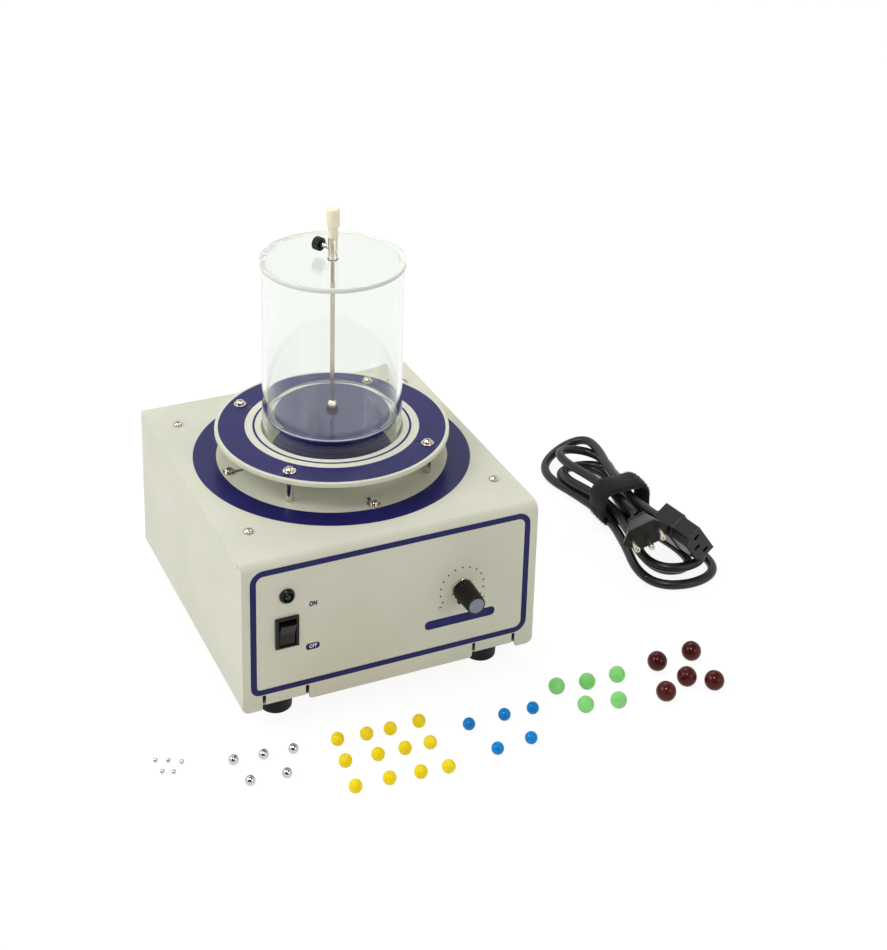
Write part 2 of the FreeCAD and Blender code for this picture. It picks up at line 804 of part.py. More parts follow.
def thumb_screw_grip():
    collar, grip = thumb_collar_radius, thumb_grip_radius
    shoulder = thumb_collar_length
    end = thumb_collar_length + thumb_grip_length
    bore = thumb_stud_radius
    depth = thumb_collar_length + thumb_grip_length / 2
    profile = [(bore, 0), (collar, 0), (collar, shoulder), (grip - thumb_grip_shoulder, shoulder),
               (grip, shoulder + thumb_grip_shoulder)]
    profile += nose(grip, end, thumb_grip_nose) + [(0, end), (0, depth), (bore, depth)]
    head = turned(profile, (0, 0, 0))
    flute = rod(thumb_flute_radius, thumb_grip_length + 2 * overshoot, (grip, 0, shoulder - overshoot))
    head = head.cut(around(flute, thumb_flutes, (0, 0, 0)))
    head.Placement = FreeCAD.Placement(along_thumb(thumb_collar_start),
                                       FreeCAD.Rotation(AXIS_Z, thumb_axis()))
    return head


def piston_disc():
    disc = rod(piston_radius, piston_thickness, (tower_x, tower_y, piston_bottom))
    disc = disc.makeChamfer(piston_chamfer, [e for e in disc.Edges if isinstance(e.Curve, Part.Circle)])
    return disc.cut(rod(rod_radius, piston_thickness, (tower_x, tower_y, piston_bottom)))


def piston_washer():
    return ring(rod_radius, piston_washer_radius, washer_thickness, (tower_x, tower_y, piston_top))


def piston_nut():
    """A domed nut that holds the disc to the rod."""
    radius, height = piston_nut_radius, piston_nut_height
    seat = piston_nut_seat
    nut = hexagon(2 * radius * math.cos(math.radians(30)), seat, (0, 0, 0))
    dome = [(0, seat)] + dome_points(piston_nut_dome, seat, height - seat)
    nut = nut.fuse(turned(dome, (0, 0, 0))).cut(rod(rod_radius, height, (0, 0, 0)))
    nut.translate(Vector(tower_x, tower_y, piston_top + washer_thickness))
    return nut


def piston_rod():
    return rod(rod_radius, rod_top - piston_bottom, (tower_x, tower_y, piston_bottom))


def rod_cap():
    lower, upper = cap_lower_radius, cap_upper_radius
    step, end = cap_lower_height, cap_lower_height + cap_upper_height
    inside = end - cap_wall
    profile = [(rod_radius, 0), (lower, 0), (lower, step - cap_step), (upper - cap_step, step),
               (upper, step + cap_step)]
    profile += nose(upper, end, cap_round) + [(0, end), (0, inside), (rod_radius, inside)]
    return turned(profile, (tower_x, tower_y, sleeve_top))


def vibrating_disc():
    low = cover_top + disc_top - disc_thickness
    disc = rod(disc_radius, disc_thickness, (tower_x, tower_y, low))
    disc = disc.makeFillet(disc_round, [e for e in disc.Edges if isinstance(e.Curve, Part.Circle)])
    hub = rod(disc_hub_radius, disc_hub_height, (tower_x, tower_y, low - disc_hub_height))
    return disc.fuse(hub).cut(rod(spindle_radius, disc_hub_height, (tower_x, tower_y, low - disc_hub_height)))


# Heights in the driver, from its flange down
flange_top = cover_underside
flange_low = flange_top - driver_sheet
basket_low = flange_top - basket_depth
front_plate_low = basket_low - front_plate_thickness
magnet_low = front_plate_low - magnet_thickness
back_plate_low = magnet_low - back_plate_thickness
former_outer = pole_radius + coil_gap + former_wall
former_low = front_plate_low - driver_travel
former_top = former_low + former_height
cone_low = former_top - cone_seat
cone_high = cone_low + cone_rise


def driver_basket():
    """Pressed frame: flange, six-legged cone and floor."""
    inner = former_outer + basket_hole_gap
    wall = driver_sheet
    shoulder = flange_low - rim_depth
    profile = [(driver_rim, flange_top), (driver_flange, flange_top), (driver_flange, flange_low),
               (driver_rim + wall, flange_low), (driver_rim + wall, shoulder),
               (basket_floor + wall, basket_low), (inner, basket_low), (inner, basket_low + wall),
               (basket_floor, basket_low + wall), (driver_rim, shoulder)]
    basket = turned(profile, (tower_x, tower_y, 0))
    window_low = basket_low + spider_height + window_rise
    window_high = shoulder - window_margin
    reach = driver_rim + 2 * wall
    span = math.radians(basket_window_span / 2)
    wedge = [(0, 0, window_low), (reach * math.cos(span), -reach * math.sin(span), window_low),
             (reach * math.cos(span), reach * math.sin(span), window_low)]
    window = prism(wedge, AXIS_Z * (window_high - window_low))
    window.translate(Vector(tower_x, tower_y, 0))
    cuts = around(window, basket_windows, (tower_x, tower_y, 0), start=basket_window_turn)
    hole = screw_shank / 2 + hole_clearance
    through = wall + 2 * overshoot
    cuts += [rod(hole, through, (x, y, flange_low - overshoot)) for x, y in driver_places() + post_places()]
    return basket.cut(cuts)


def driver_front_plate():
    return ring(former_outer + coil_gap, front_plate_radius, front_plate_thickness,
                (tower_x, tower_y, front_plate_low))


def driver_magnet():
    return ring(magnet_bore, magnet_radius, magnet_thickness, (tower_x, tower_y, magnet_low))


def driver_pole_piece():
    top = basket_low + pole_rise
    profile = [(pole_vent, back_plate_low), (front_plate_radius, back_plate_low),
               (front_plate_radius, magnet_low), (pole_radius, magnet_low),
               (pole_radius, top), (pole_vent, top)]
    return turned(profile, (tower_x, tower_y, 0))


def voice_coil():
    return ring(pole_radius + coil_gap, former_outer, former_height, (tower_x, tower_y, former_low))


def driver_cone():
    low, high = cone_low, cone_high
    profile = [(former_outer, low), (former_outer + cone_wall, low), (cone_outer, high - cone_wall),
               (cone_outer, high), (cone_outer - cone_wall, high), (former_outer, low + 1.5 * cone_wall)]
    return turned(profile, (tower_x, tower_y, 0))


def driver_surround():
    """Half-round rubber ring between the cone and the flange."""
    height = cone_high
    inner, outer = cone_outer + soft_gap, driver_rim
    middle, radius = (inner + outer) / 2, (outer - inner) / 2
    upper, lower = [], []
    for k in range(9):
        turn = math.radians(180 - 22.5 * k)
        upper.append((middle + radius * math.cos(turn), height + radius * math.sin(turn)))
        thin = radius - surround_wall
        lower.append((middle + thin * math.cos(turn), height + thin * math.sin(turn)))
    skirt = [(outer, height - surround_wall), (outer - surround_wall, height - surround_wall)]
    foot = [(inner + surround_wall, height - surround_wall), (inner, height - surround_wall)]
    return turned(upper + skirt + lower[::-1] + foot, (tower_x, tower_y, 0))


def driver_spider():
    """Corrugated centring ring that carries the voice coil."""
    height = basket_low + spider_height
    inner, outer = former_outer + soft_gap, spider_outer
    steps = 4 * spider_rolls * 2
    line = []
    for k in range(steps + 1):
        share = k / steps
        line.append((inner + (outer - inner) * share,
                     height + spider_roll * math.sin(2 * math.pi * spider_rolls * share)))
    upper = [(r, h + spider_wall) for r, h in line]
    foot = [(outer, basket_low + driver_sheet), (outer + spider_foot, basket_low + driver_sheet),
            (outer + spider_foot, height + spider_wall)]
    return turned(line + foot + upper[::-1], (tower_x, tower_y, 0))


def drive_spindle():
    """Plate that closes the coil former, with the rod up to the vibrating disc."""
    plate_low = former_top - hub_plate - hub_sink
    rod_end = cover_top + disc_top - disc_thickness
    plate = rod(pole_radius + coil_gap, hub_plate, (tower_x, tower_y, plate_low))
    spindle = rod(spindle_radius, rod_end - plate_low, (tower_x, tower_y, plate_low))
    return plate.fuse(spindle).removeSplitter()


def led_holder():
    """Black bezel with a tapered rim; its barrel passes through the panel."""
    rim, proud = led_holder_radius, led_holder_proud
    bore = led_radius + led_clearance
    profile = [(bore, -led_body_length), (led_body_radius, -led_body_length), (led_body_radius, 0), (rim, 0),
               (rim, proud - 2 * led_mouth), (rim - led_rim_taper, proud), (bore + led_mouth, proud),
               (bore, proud - led_rim_taper)]
    return turned(profile, (led_x, front_face, led_z), AXIS_Y * -1)


def led():
    """Domed lamp with its flange against the holder's rear end."""
    r, end = led_radius, led_holder_proud + led_proud - led_radius
    tail = -led_body_length
    flange, low = r + led_flange, tail - led_flange_thickness
    profile = [(0, low), (flange, low), (flange, tail), (r, tail)] + dome_points(r, end, r)
    return turned(profile, (led_x, front_face, led_z), AXIS_Y * -1)


def switch_housing():
    half_w, half_h = bezel_width / 2, bezel_height / 2
    x, z = switch_x, switch_z
    bezel = box(x - half_w, x + half_w, front_face - bezel_proud, front_face, z - half_h, z + half_h)
    bezel = bezel.makeFillet(bezel_round, bezel_edges(bezel, front_face - bezel_proud))
    body_w, body_h = switch_body_width / 2, switch_body_height / 2
    body = box(x - body_w, x + body_w, front_face, front_face + switch_body_depth, z - body_h, z + body_h)
    inner_w, inner_h = body_w - switch_wall, body_h - switch_end_wall
    cavity = box(x - inner_w, x + inner_w, front_face - bezel_proud - overshoot,
                 front_face + switch_body_depth - 2 * switch_wall, z - inner_h, z + inner_h)
    tag_w, tag_h, tag_y = switch_tag_width / 2, switch_tag_thickness / 2, front_face + switch_body_depth
    tags = []
    for tag_z in (z - switch_tag_spacing / 2, z + switch_tag_spacing / 2):
        tags.append(box(x - tag_w, x + tag_w, tag_y, tag_y + switch_tag_length, tag_z - tag_h, tag_z + tag_h))
    return bezel.fuse([body] + tags).cut(cavity).removeSplitter()


def bezel_edges(shape, y):
    """Edges of a shape that lie in the plane at y."""
    return [e for e in shape.Edges if all(abs(v.Point.y - y) < 0.01 for v in e.Vertexes)]


def switch_rocker():
    """Rocker with its lower end pressed in, as when the mains is off."""
    half_w = switch_body_width / 2 - switch_wall - rocker_clearance
    half_h = rocker_height / 2
    front = front_face - bezel_proud - rocker_proud
    back = front_face + rocker_pivot + rocker_root
    x0 = switch_x - half_w
    corners = [(x0, front, switch_z + half_h), (x0, front + rocker_dip, switch_z),
               (x0, front, switch_z - half_h),
               (x0, back, switch_z - half_h + rocker_taper), (x0, back, switch_z + half_h - rocker_taper)]
    rocker = prism(corners, AXIS_X * (2 * half_w))
    rocker.rotate(Vector(switch_x, front_face + rocker_pivot, switch_z), AXIS_X, rocker_throw)
    return rocker


def potentiometer():
    """Control body behind the panel with its threaded bushing."""
    body_front = front_face + sheet
    body = rod(pot_radius, pot_depth, (knob_x, body_front, knob_z), AXIS_Y)
    lug_front = body_front + pot_lug_inset
    lugs = box(knob_x - pot_lug_width / 2, knob_x + pot_lug_width / 2,
               lug_front, lug_front + pot_lug_thickness,
               knob_z - pot_radius - pot_lug_length, knob_z)
    bushing = rod(bushing_radius, bushing_proud + sheet, (knob_x, front_face - bushing_proud, knob_z), AXIS_Y)
    bore = rod(shaft_radius + rod_clearance, bushing_proud + sheet + pot_depth - pot_end_wall,
               (knob_x, front_face - bushing_proud, knob_z), AXIS_Y)
    return body.fuse([lugs, bushing]).cut(bore).removeSplitter()


def pot_nut():
    nut = hexagon(nut_flats, nut_thickness, (knob_x, front_face, knob_z), AXIS_Y * -1, turn=nut_turn)
    return nut.cut(rod(bushing_radius, nut_thickness, (knob_x, front_face, knob_z), AXIS_Y * -1))


def pot_shaft():
    length = shaft_proud + sheet + pot_depth - pot_end_wall - pot_end_gap
    return rod(shaft_radius, length, (knob_x, front_face - shaft_proud, knob_z), AXIS_Y)


def knob():
    """Fluted, tapered knob with a pointer, set at its lowest mark."""
    base, front, length = knob_base_radius, knob_front_radius, knob_length
    shaft_end = shaft_proud - knob_gap
    bushing_end = bushing_proud - knob_gap + bushing_end_gap
    bore = bushing_radius + knob_bore_clearance
    recess = knob_cap_thickness
    profile = [(bore, 0), (base, 0), (front, length - knob_edge), (front - knob_rim, length),
               (knob_cap_radius, length), (knob_cap_radius, length - recess), (0, length - recess),
               (0, shaft_end), (shaft_radius, shaft_end), (shaft_radius, bushing_end),
               (bore, bushing_end)]
    body = turned(profile, (0, 0, 0))
    taper = math.degrees(math.atan2(base - front, length))
    flute = rod(knob_flute_radius, length, (base + knob_flute_offset, 0, pointer_length))
    flute.rotate(Vector(base, 0, 0), AXIS_Y, -taper)
    body = body.cut(around(flute, knob_flutes, (0, 0, 0), start=180 / knob_flutes))
    inner = base - knob_fin_sink
    half = pointer_width / 2
    fin = prism([(inner, -half, 0), (pointer_reach, 0, 0), (inner, half, 0)], AXIS_Z * pointer_length)
    # The knob lies along -Y, so angles seen from the front turn about +Y after this placement
    body = body.fuse(fin)
    body.Placement = FreeCAD.Placement(Vector(knob_x, front_face - knob_gap, knob_z),
                                       FreeCAD.Rotation(AXIS_X, 90))
    body.rotate(Vector(knob_x, 0, knob_z), AXIS_Y, -pointer_angle)
    return body


def knob_cap():
    centre = (knob_x, front_face - knob_gap - knob_length + knob_cap_thickness, knob_z)
    return rod(knob_cap_radius, knob_cap_thickness, centre, AXIS_Y * -1)


def beveled_outline(width, height, bevel, centre_z, y, grow=0.0):
    """The mains socket's outline: a rectangle with its two upper corners cut off."""
    w, h = width / 2 + grow, height / 2 + grow
    corners = [(-w, -h), (w, -h), (w, h - bevel), (w - bevel, h), (-w + bevel, h), (-w, h - bevel)]
    return [(inlet_x + a, y, centre_z + b) for a, b in corners]


def inlet_housing():
    y = rear_face
    half_w, half_h = inlet_flange_width / 2, inlet_flange_height / 2
    waist = inlet_body_width / 2 + inlet_flange_side
    right = [(waist, -half_h), (waist, -inlet_ear_root), (half_w, -inlet_ear_tip), (half_w, inlet_ear_tip),
             (waist, inlet_ear_root), (waist, half_h)]
    outline = right + [(-a, -b) for a, b in right]
    flange = prism([(inlet_x + a, y, inlet_z + b) for a, b in outline], AXIS_Y * inlet_flange_thickness)
    body = box(inlet_x - inlet_body_width / 2, inlet_x + inlet_body_width / 2, y - inlet_body_depth, y,
               inlet_z - inlet_body_height / 2, inlet_z + inlet_body_height / 2)
    outer = y + inlet_flange_thickness
    socket = prism(beveled_outline(inlet_socket_width, inlet_socket_height, inlet_bevel,
                                   inlet_z - inlet_socket_drop, outer), AXIS_Y * -inlet_socket_depth)
    drawer_z = inlet_z + drawer_rise
    half_dw, half_dh = drawer_width / 2 + drawer_clearance, drawer_height / 2 + drawer_clearance
    recess = box(inlet_x - half_dw, inlet_x + half_dw, outer - drawer_depth - drawer_clearance, outer,
                 drawer_z - half_dh, drawer_z + half_dh)
    cuts = [socket, recess]
    for x in inlet_screw_places():
        cuts.append(rod(screw_shank / 2 + washer_clearance, inlet_flange_thickness, (x, y, inlet_z), AXIS_Y))
    for x, z in inlet_pin_places():
        cuts.append(inlet_pin_block(x, z, y - inlet_body_depth, outer - inlet_socket_depth))
    return flange.fuse(body).cut(cuts).removeSplitter()


def inlet_pin_places():
    """Live, neutral and the earth pin nearer the bevels."""
    low = inlet_z - inlet_socket_drop - inlet_earth_rise / 2
    return [(inlet_x - inlet_pin_spacing, low), (inlet_x + inlet_pin_spacing, low),
            (inlet_x, low + inlet_earth_rise)]


def inlet_pin_block(x, z, y0, y1):
    return box(x - inlet_pin_width / 2, x + inlet_pin_width / 2, y0, y1,
               z - inlet_pin_height / 2, z + inlet_pin_height / 2)


def inlet_pins():
    start = rear_face - inlet_body_depth - inlet_tail
    end = rear_face + inlet_flange_thickness - inlet_socket_depth + inlet_pin_length
    return group([inlet_pin_block(x, z, start, end) for x, z in inlet_pin_places()])


def fuse_drawer():
    outer = rear_face + inlet_flange_thickness
    z = inlet_z + drawer_rise
    half_w, half_h = drawer_width / 2, drawer_height / 2
    tray = box(inlet_x - half_w, inlet_x + half_w, outer - drawer_depth, outer + drawer_lip,
               z - half_h, z + half_h)
    well_w = half_w - drawer_side_wall
    well = box(inlet_x - well_w, inlet_x + well_w,
               outer - drawer_depth + drawer_wall, outer - drawer_front_wall,
               z - half_h + drawer_wall, z + half_h + overshoot)
    grip_w, grip_h, lip = drawer_grip_width / 2, drawer_grip_height / 2, outer + drawer_lip
    grip = box(inlet_x - grip_w, inlet_x + grip_w, lip, lip + drawer_grip_proud, z - grip_h, z + grip_h)
    return tray.cut(well).fuse(grip)


def inlet_screws():
    seat = rear_face + inlet_flange_thickness
    return group([pan_screw((x, seat, inlet_z), AXIS_Y, inlet_flange_thickness + sheet + inlet_screw_end)
                  for x in inlet_screw_places()])


def transformer_core():
    """Laminated core with two windows and its mounting feet."""
    x, y, z = transformer_x, transformer_y, base_top
    half_w, half_s = core_width / 2, core_stack / 2
    core = box(x - half_w, x + half_w, y - half_s, y + half_s, z, z + core_height)
    window = core_width / 2 - 2 * core_limb
    cuts = []
    for side in (-1, 1):
        x0, x1 = sorted((x + side * core_limb, x + side * (core_limb + window)))
        cuts.append(box(x0, x1, y - half_s, y + half_s, z + core_limb, z + core_height - core_limb))
    feet = box(x - half_w - core_foot, x + half_w + core_foot, y - half_s, y + half_s,
               z, z + core_foot_thickness)
    return core.cut(cuts).fuse(feet).removeSplitter()


def transformer_winding():
    x, y = transformer_x, transformer_y
    low = base_top + core_limb + winding_gap
    high = base_top + core_height - core_limb - winding_gap
    inner_x, inner_y = core_limb + winding_gap, core_stack / 2 + winding_gap
    outer_x, outer_y = core_width / 2 - core_limb - winding_gap, core_stack / 2 + winding_bulge
    coil = box(x - outer_x, x + outer_x, y - outer_y, y + outer_y, low, high)
    upright = [e for e in coil.Edges if abs(e.tangentAt(e.FirstParameter).z) > 0.99]
    coil = coil.makeFillet(winding_corner, upright)
    return coil.cut(box(x - inner_x, x + inner_x, y - inner_y, y + inner_y, low, high))


def circuit_board():
    """Board with two capacitors, a bridge rectifier and a terminal strip."""
    z = base_top + board_lift
    half_w, half_d = board_width / 2, board_depth / 2
    board = box(board_x - half_w, board_x + half_w, board_y - half_d, board_y + half_d,
                z, z + board_thickness)
    top = z + board_thickness
    parts = [board]
    for x, y in capacitor_places:
        parts.append(rod(capacitor_radius, capacitor_height, (board_x + x, board_y + y, top)))
    blocks = (rectifier_place, rectifier_size), (terminal_place, terminal_size)
    for (x, y), (width, depth, height) in blocks:
        parts.append(box(board_x + x - width / 2, board_x + x + width / 2,
                         board_y + y - depth / 2, board_y + y + depth / 2, top, top + height))
    return group(parts)


def heat_sink():
    """Finned sink that stands on the board."""
    z = base_top + board_lift + board_thickness
    x0, y0 = board_x + sink_place[0], board_y + sink_place[1]
    wall = box(x0, x0 + sink_width, y0, y0 + sink_wall, z, z + sink_height)
    pitch = (sink_width - sink_fin) / (sink_fins - 1)
    fins = [box(x0 + k * pitch, x0 + k * pitch + sink_fin, y0 + sink_wall, y0 + sink_wall + sink_fin_depth,
                z, z + sink_height) for k in range(sink_fins)]
    return wall.fuse(fins).removeSplitter()


def balls(diameter, places):
    radius = diameter / 2
    return group([Part.makeSphere(radius, Vector(x, y, radius)) for x, y in places])


def beside(shape, face, azimuth, tilt, roll):
    """A cord end's body: local +Z points out of its face, +X along its contact row."""
    heading = FreeCAD.Rotation(AXIS_Z, azimuth)
    lift = FreeCAD.Rotation(AXIS_X, 90 - tilt)
    spin = FreeCAD.Rotation(AXIS_Z, roll)
    shape.Placement = FreeCAD.Placement(Vector(*face), heading.multiply(lift).multiply(spin))
    return shape


def connector_placed(shape):
    return beside(shape, connector_face, connector_azimuth, connector_tilt, connector_roll)


def plug_placed(shape):
    return beside(shape, plug_face, plug_azimuth, plug_tilt, plug_roll)


def beveled_block(width, height, bevel, z0, z1):
    """A block along Z with its two +Y corners cut off."""
    w, h = width / 2, height / 2
    corners = [(-w, -h, z0), (w, -h, z0), (w, h - bevel, z0), (w - bevel, h, z0),
               (-w + bevel, h, z0), (-w, h - bevel, z0)]
    return prism(corners, AXIS_Z * (z1 - z0))


def strain_relief(start):
    """A tapered sleeve behind a body that ends at a local height, towards -Z."""
    end = start - relief_length
    return turned([(0, start), (relief_start_radius, start), (relief_end_radius, end), (0, end)], (0, 0, 0))


def cord_connector():
    front_end = -connector_front_length
    grip_end = front_end - connector_grip_length
    front = beveled_block(connector_front_width, connector_front_height, connector_bevel, front_end, 0)
    grip = beveled_block(connector_grip_width, connector_grip_height, connector_bevel, grip_end, front_end)
    body = front.fuse([grip, strain_relief(grip_end)])
    low = -inlet_earth_rise / 2
    slots = []
    for x, y in ((-inlet_pin_spacing, low), (inlet_pin_spacing, low), (0, low + inlet_earth_rise)):
        half_w, half_h = inlet_pin_width / 2 + contact_clearance, inlet_pin_height / 2 + contact_clearance
        slots.append(box(x - half_w, x + half_w, y - half_h, y + half_h, -connector_slot_depth, 0))
    return connector_placed(body.cut(slots).removeSplitter())


def cord_plug():
    """Flat six-sided body that narrows to a ribbed tail, with a strain relief."""
    face = plug_section(plug_width, plug_height, plug_flat, 0)
    waist = plug_section(plug_waist_width, plug_waist_height, plug_tail_width, -plug_length)
    body = Part.makeLoft([face, waist], True, True)
    w, h = plug_tail_width / 2, plug_tail_height / 2
    tail_end = -plug_length - plug_tail
    core = box(-w + plug_rib_depth, w - plug_rib_depth, -h + plug_rib_depth, h - plug_rib_depth,
               tail_end, -plug_length)
    rib_pitch = plug_tail / plug_ribs
    ribs = []
    for k in range(plug_ribs):
        top = -plug_length - rib_pitch * k - rib_pitch / 2
        ribs.append(box(-w, w, -h, h, top - rib_pitch / 2, top))
    plug = body.fuse([core, strain_relief(tail_end)] + ribs)
    holes = [rod(pin_root_diameter / 2, pin_root, (x, y, -pin_root)) for x, y in plug_pin_places()]
    return plug_placed(plug.cut(holes).removeSplitter())


def plug_section(width, height, flat, z):
    """The plug's six-sided outline at a height."""
    w, h, f = width / 2, height / 2, flat / 2
    corners = [(-w, 0, z), (-f, -h, z), (f, -h, z), (w, 0, z), (f, h, z), (-f, h, z)]
    return Part.makePolygon([Vector(*c) for c in corners + corners[:1]])


def plug_pin_places():
    return ((-pin_spacing, 0), (pin_spacing, 0), (0, -pin_offset))


def plug_pins():
    pins = []
    for x, y in plug_pin_places():
        pin = rod(pin_diameter / 2, pin_length, (x, y, 0))
        tip = [e for e in pin.Edges if isinstance(e.Curve, Part.Circle) and e.Curve.Center.z > 0]
        pin = pin.makeFillet(pin_round, tip).fuse(rod(pin_root_diameter / 2, pin_root, (x, y, -pin_root)))
        pins.append(plug_placed(pin))
    return group(pins)


def hank_reach(half_turn):
    """Distance from the waist to the tip of a loop."""
    reaches = hank_near_reaches if half_turn % 2 else hank_far_reaches
    return reaches[half_turn // 2]


def hank_point(turn):
    """Centre of the cord at a time counted in half turns, waist to waist."""
    half = min(int(turn), len(hank_columns) - 2)
    part = turn - half
    sway = (1 - math.cos(math.pi * part)) / 2
    climb = min(max((part - hank_climb_start) / (1 - 2 * hank_climb_start), 0), 1)
    climb = (1 - math.cos(math.pi * climb)) / 2
    column = hank_pitch * (hank_columns[half] + (hank_columns[half + 1] - hank_columns[half]) * sway)
    layer = hank_layers[half] + (hank_layers[half + 1] - hank_layers[half]) * climb
    angle = math.pi * (turn - 0.5)
    out, across = math.cos(angle), -math.sin(angle)
    x = across * (column + (hank_bulge + hank_spread * column) * out ** 2) + hank_veer * out ** 2
    y = hank_reach(half) * out
    lift = (strap_thickness + strap_clearance) * across ** 4
    return Vector(hank_x + x, hank_y + y, cord_diameter / 2 + hank_layer_rise * layer + lift)


def hank_tangent(turn):
    """Direction of the cord there; at a waist the cord runs along the hank."""
    step = 0.001
    if abs(turn - round(turn)) < step:
        return AXIS_Y * (1 if round(turn) % 2 == 0 else -1)
    return (hank_point(turn + step) - hank_point(turn - step)).normalize()


def arc_from(start, tangent, end):
    """An arc that leaves its start along a tangent, or a line if that is straight."""
    chord = end - start
    along = Vector(chord).normalize()
    aside = tangent - along * tangent.dot(along)
    if aside.Length < 1e-6:
        return Part.LineSegment(start, end)
    half_turn = math.atan2(aside.Length, tangent.dot(along))
    sagitta = chord.Length / 2 * math.tan(half_turn / 2)
    return Part.Arc(start, start + chord * 0.5 + aside.normalize() * sagitta, end)


def biarc(start, leaving, end, arriving):
    """Two tangent arcs between two points with given directions."""
    span = end - start
    both = leaving + arriving
    spread = 2 * (1 - leaving.dot(arriving))
    if spread < 1e-9:
        reach = span.dot(span) / (4 * span.dot(arriving))
    else:
        reach = (math.sqrt(span.dot(both) ** 2 + spread * span.dot(span)) - span.dot(both)) / spread
    middle = (start + end + (leaving - arriving) * reach) * 0.5
    there = (end - arriving * reach - middle).normalize()
    return [arc_from(start, leaving, middle), arc_from(middle, there, end)]


def cord_path():
    """The lead's centre line: connector, tail, hank, tail, plug."""
    first_exit, first_out = cord_exit(connector_placed, connector_front_length + connector_grip_length)
    last_exit, last_out = cord_exit(plug_placed, plug_length + plug_tail)
    first_free = first_exit + first_out * cord_diameter
    last_free = last_exit + last_out * cord_diameter
    end_turn = len(hank_columns) - 1
    path = [Part.LineSegment(first_exit, first_free)]
    path += biarc(first_free, first_out, hank_point(0), hank_tangent(0))
    for k in range(end_turn * hank_steps):
        a, b = k / hank_steps, (k + 1) / hank_steps
        path += biarc(hank_point(a), hank_tangent(a), hank_point(b), hank_tangent(b))
    path += biarc(hank_point(end_turn), hank_tangent(end_turn), last_free, last_out * -1)
    path.append(Part.LineSegment(last_free, last_exit))
    return path


def cord_exit(placed, length):
    """Where the cord leaves a strain relief, and its direction there."""
    mark = placed(Part.makeLine(Vector(0, 0, 0), Vector(0, 0, -length - relief_length)))
    start, end = [v.Point for v in mark.Vertexes]
    return end, (end - start).normalize()


def power_cord():
    path = cord_path()
    wire = Part.Wire([piece.toShape() for piece in path])
    start = path[0].StartPoint
    along = (path[0].EndPoint - start).normalize()
    circle = Part.Wire([Part.Circle(start, along, cord_diameter / 2).toShape()])
    cord = wire.makePipeShell([circle], True, False)
    report_cord(path, wire, cord)
    return cord


def report_cord(path, wire, cord):
    """Print the radii, the volume against section times length, and the least gap to itself."""
    radii = sorted(round(edge.Curve.Radius, 1) for edge in wire.Edges if isinstance(edge.Curve, Part.Circle))
    print("cord radii", radii[:6], "to", radii[-1], "length", round(wire.Length))
    section = math.pi * cord_diameter ** 2 / 4
    print("cord volume", round(cord.Volume), "section times length", round(section * wire.Length))
    points, travel, last = [], [], 0.0
    for piece in path:
        edge = piece.toShape()
        first, span = edge.FirstParameter, edge.LastParameter - edge.FirstParameter
        count = max(2, int(edge.Length / 1.5))
        for k in range(count):
            points.append(edge.valueAt(first + span * k / count))
            travel.append(last + edge.Length * k / count)
        last += edge.Length
    least = min((points[i] - points[j]).Length for i in range(len(points)) for j in range(i)
                if travel[i] - travel[j] > 3 * cord_diameter)
    print("cord least gap to itself", round(least - cord_diameter, 2))


def strap_outline(grow):
    """Height and half width of the strap's ring round the waist."""
    half = hank_pitch * max(hank_columns) + cord_diameter / 2 + strap_slack + grow
    low = strap_thickness - grow
    top = strap_thickness + strap_clearance + hank_layer_rise * max(hank_layers) + cord_diameter
    return half, low, top + strap_slack + grow


def cord_strap():
    """Hook-and-loop band round the hank's waist."""
    y0 = hank_y + strap_y - strap_width / 2
    rings = []
    for grow in (strap_thickness, 0.0):
        half, low, high = strap_outline(grow)
        block = box(hank_x - half, hank_x + half, y0, y0 + strap_width, low, high)
        corner = strap_corner + grow
        rings.append(block.makeFillet(corner, [e for e in block.Edges
                                               if abs(e.tangentAt(e.FirstParameter).y) > 0.99]))
    return rings[0].cut(rings[1])


def write(nodes):
    os.makedirs("parts", exist_ok=True)
    for name, shape in nodes.items():
        shape.exportStep("parts/" + name + ".step")


cabinet_nodes = {
    "case_cover": case_cover(),
    "base_chassis": base_chassis(),
    "corner_pillars": corner_pillars(),
    "corner_screws": corner_screws(),
    "rubber_feet": rubber_feet(),
    "foot_screws": foot_screws(),
    "inlet_housing": inlet_housing(),
    "inlet_pins": inlet_pins(),
    "fuse_drawer": fuse_drawer(),
    "inlet_screws": inlet_screws(),
    "transformer_core": transformer_core(),
    "transformer_winding": transformer_winding(),
    "circuit_board": circuit_board(),
    "heat_sink": heat_sink(),
}
driver_nodes = {
    "driver_basket": driver_basket(),
    "driver_front_plate": driver_front_plate(),
    "driver_magnet": driver_magnet(),
    "driver_pole_piece": driver_pole_piece(),
    "driver_spider": driver_spider(),
    "driver_surround": driver_surround(),
    "driver_cone": driver_cone(),
    "voice_coil": voice_coil(),
    "drive_spindle": drive_spindle(),
    "vibrating_disc": vibrating_disc(),
    "driver_washers": washers_on(driver_places(), cover_top),
    "driver_screws": driver_screws(),
}
tower_nodes = {
    "ring_plate": ring_plate(),
    "ring_posts": ring_posts(),
    "ring_washers": washers_on(post_places(), ring_top),
    "ring_screws": screws_on(post_places(), ring_top + washer_thickness, ring_screw_length),
    "tube": tube(),
    "tube_lid": tube_lid(),
    "guide_sleeve": guide_sleeve(),
    "thumb_screw_stud": thumb_screw_stud(),
    "thumb_screw_grip": thumb_screw_grip(),
    "piston_rod": piston_rod(),
    "piston_disc": piston_disc(),
    "piston_washer": piston_washer(),
    "piston_nut": piston_nut(),
    "rod_cap": rod_cap(),
}
control_nodes = {
    "led_holder": led_holder(),
    "led": led(),
    "switch_housing": switch_housing(),
    "switch_rocker": switch_rocker(),
    "potentiometer": potentiometer(),
    "pot_nut": pot_nut(),
    "pot_shaft": pot_shaft(),
    "knob": knob(),
    "knob_cap": knob_cap(),
}
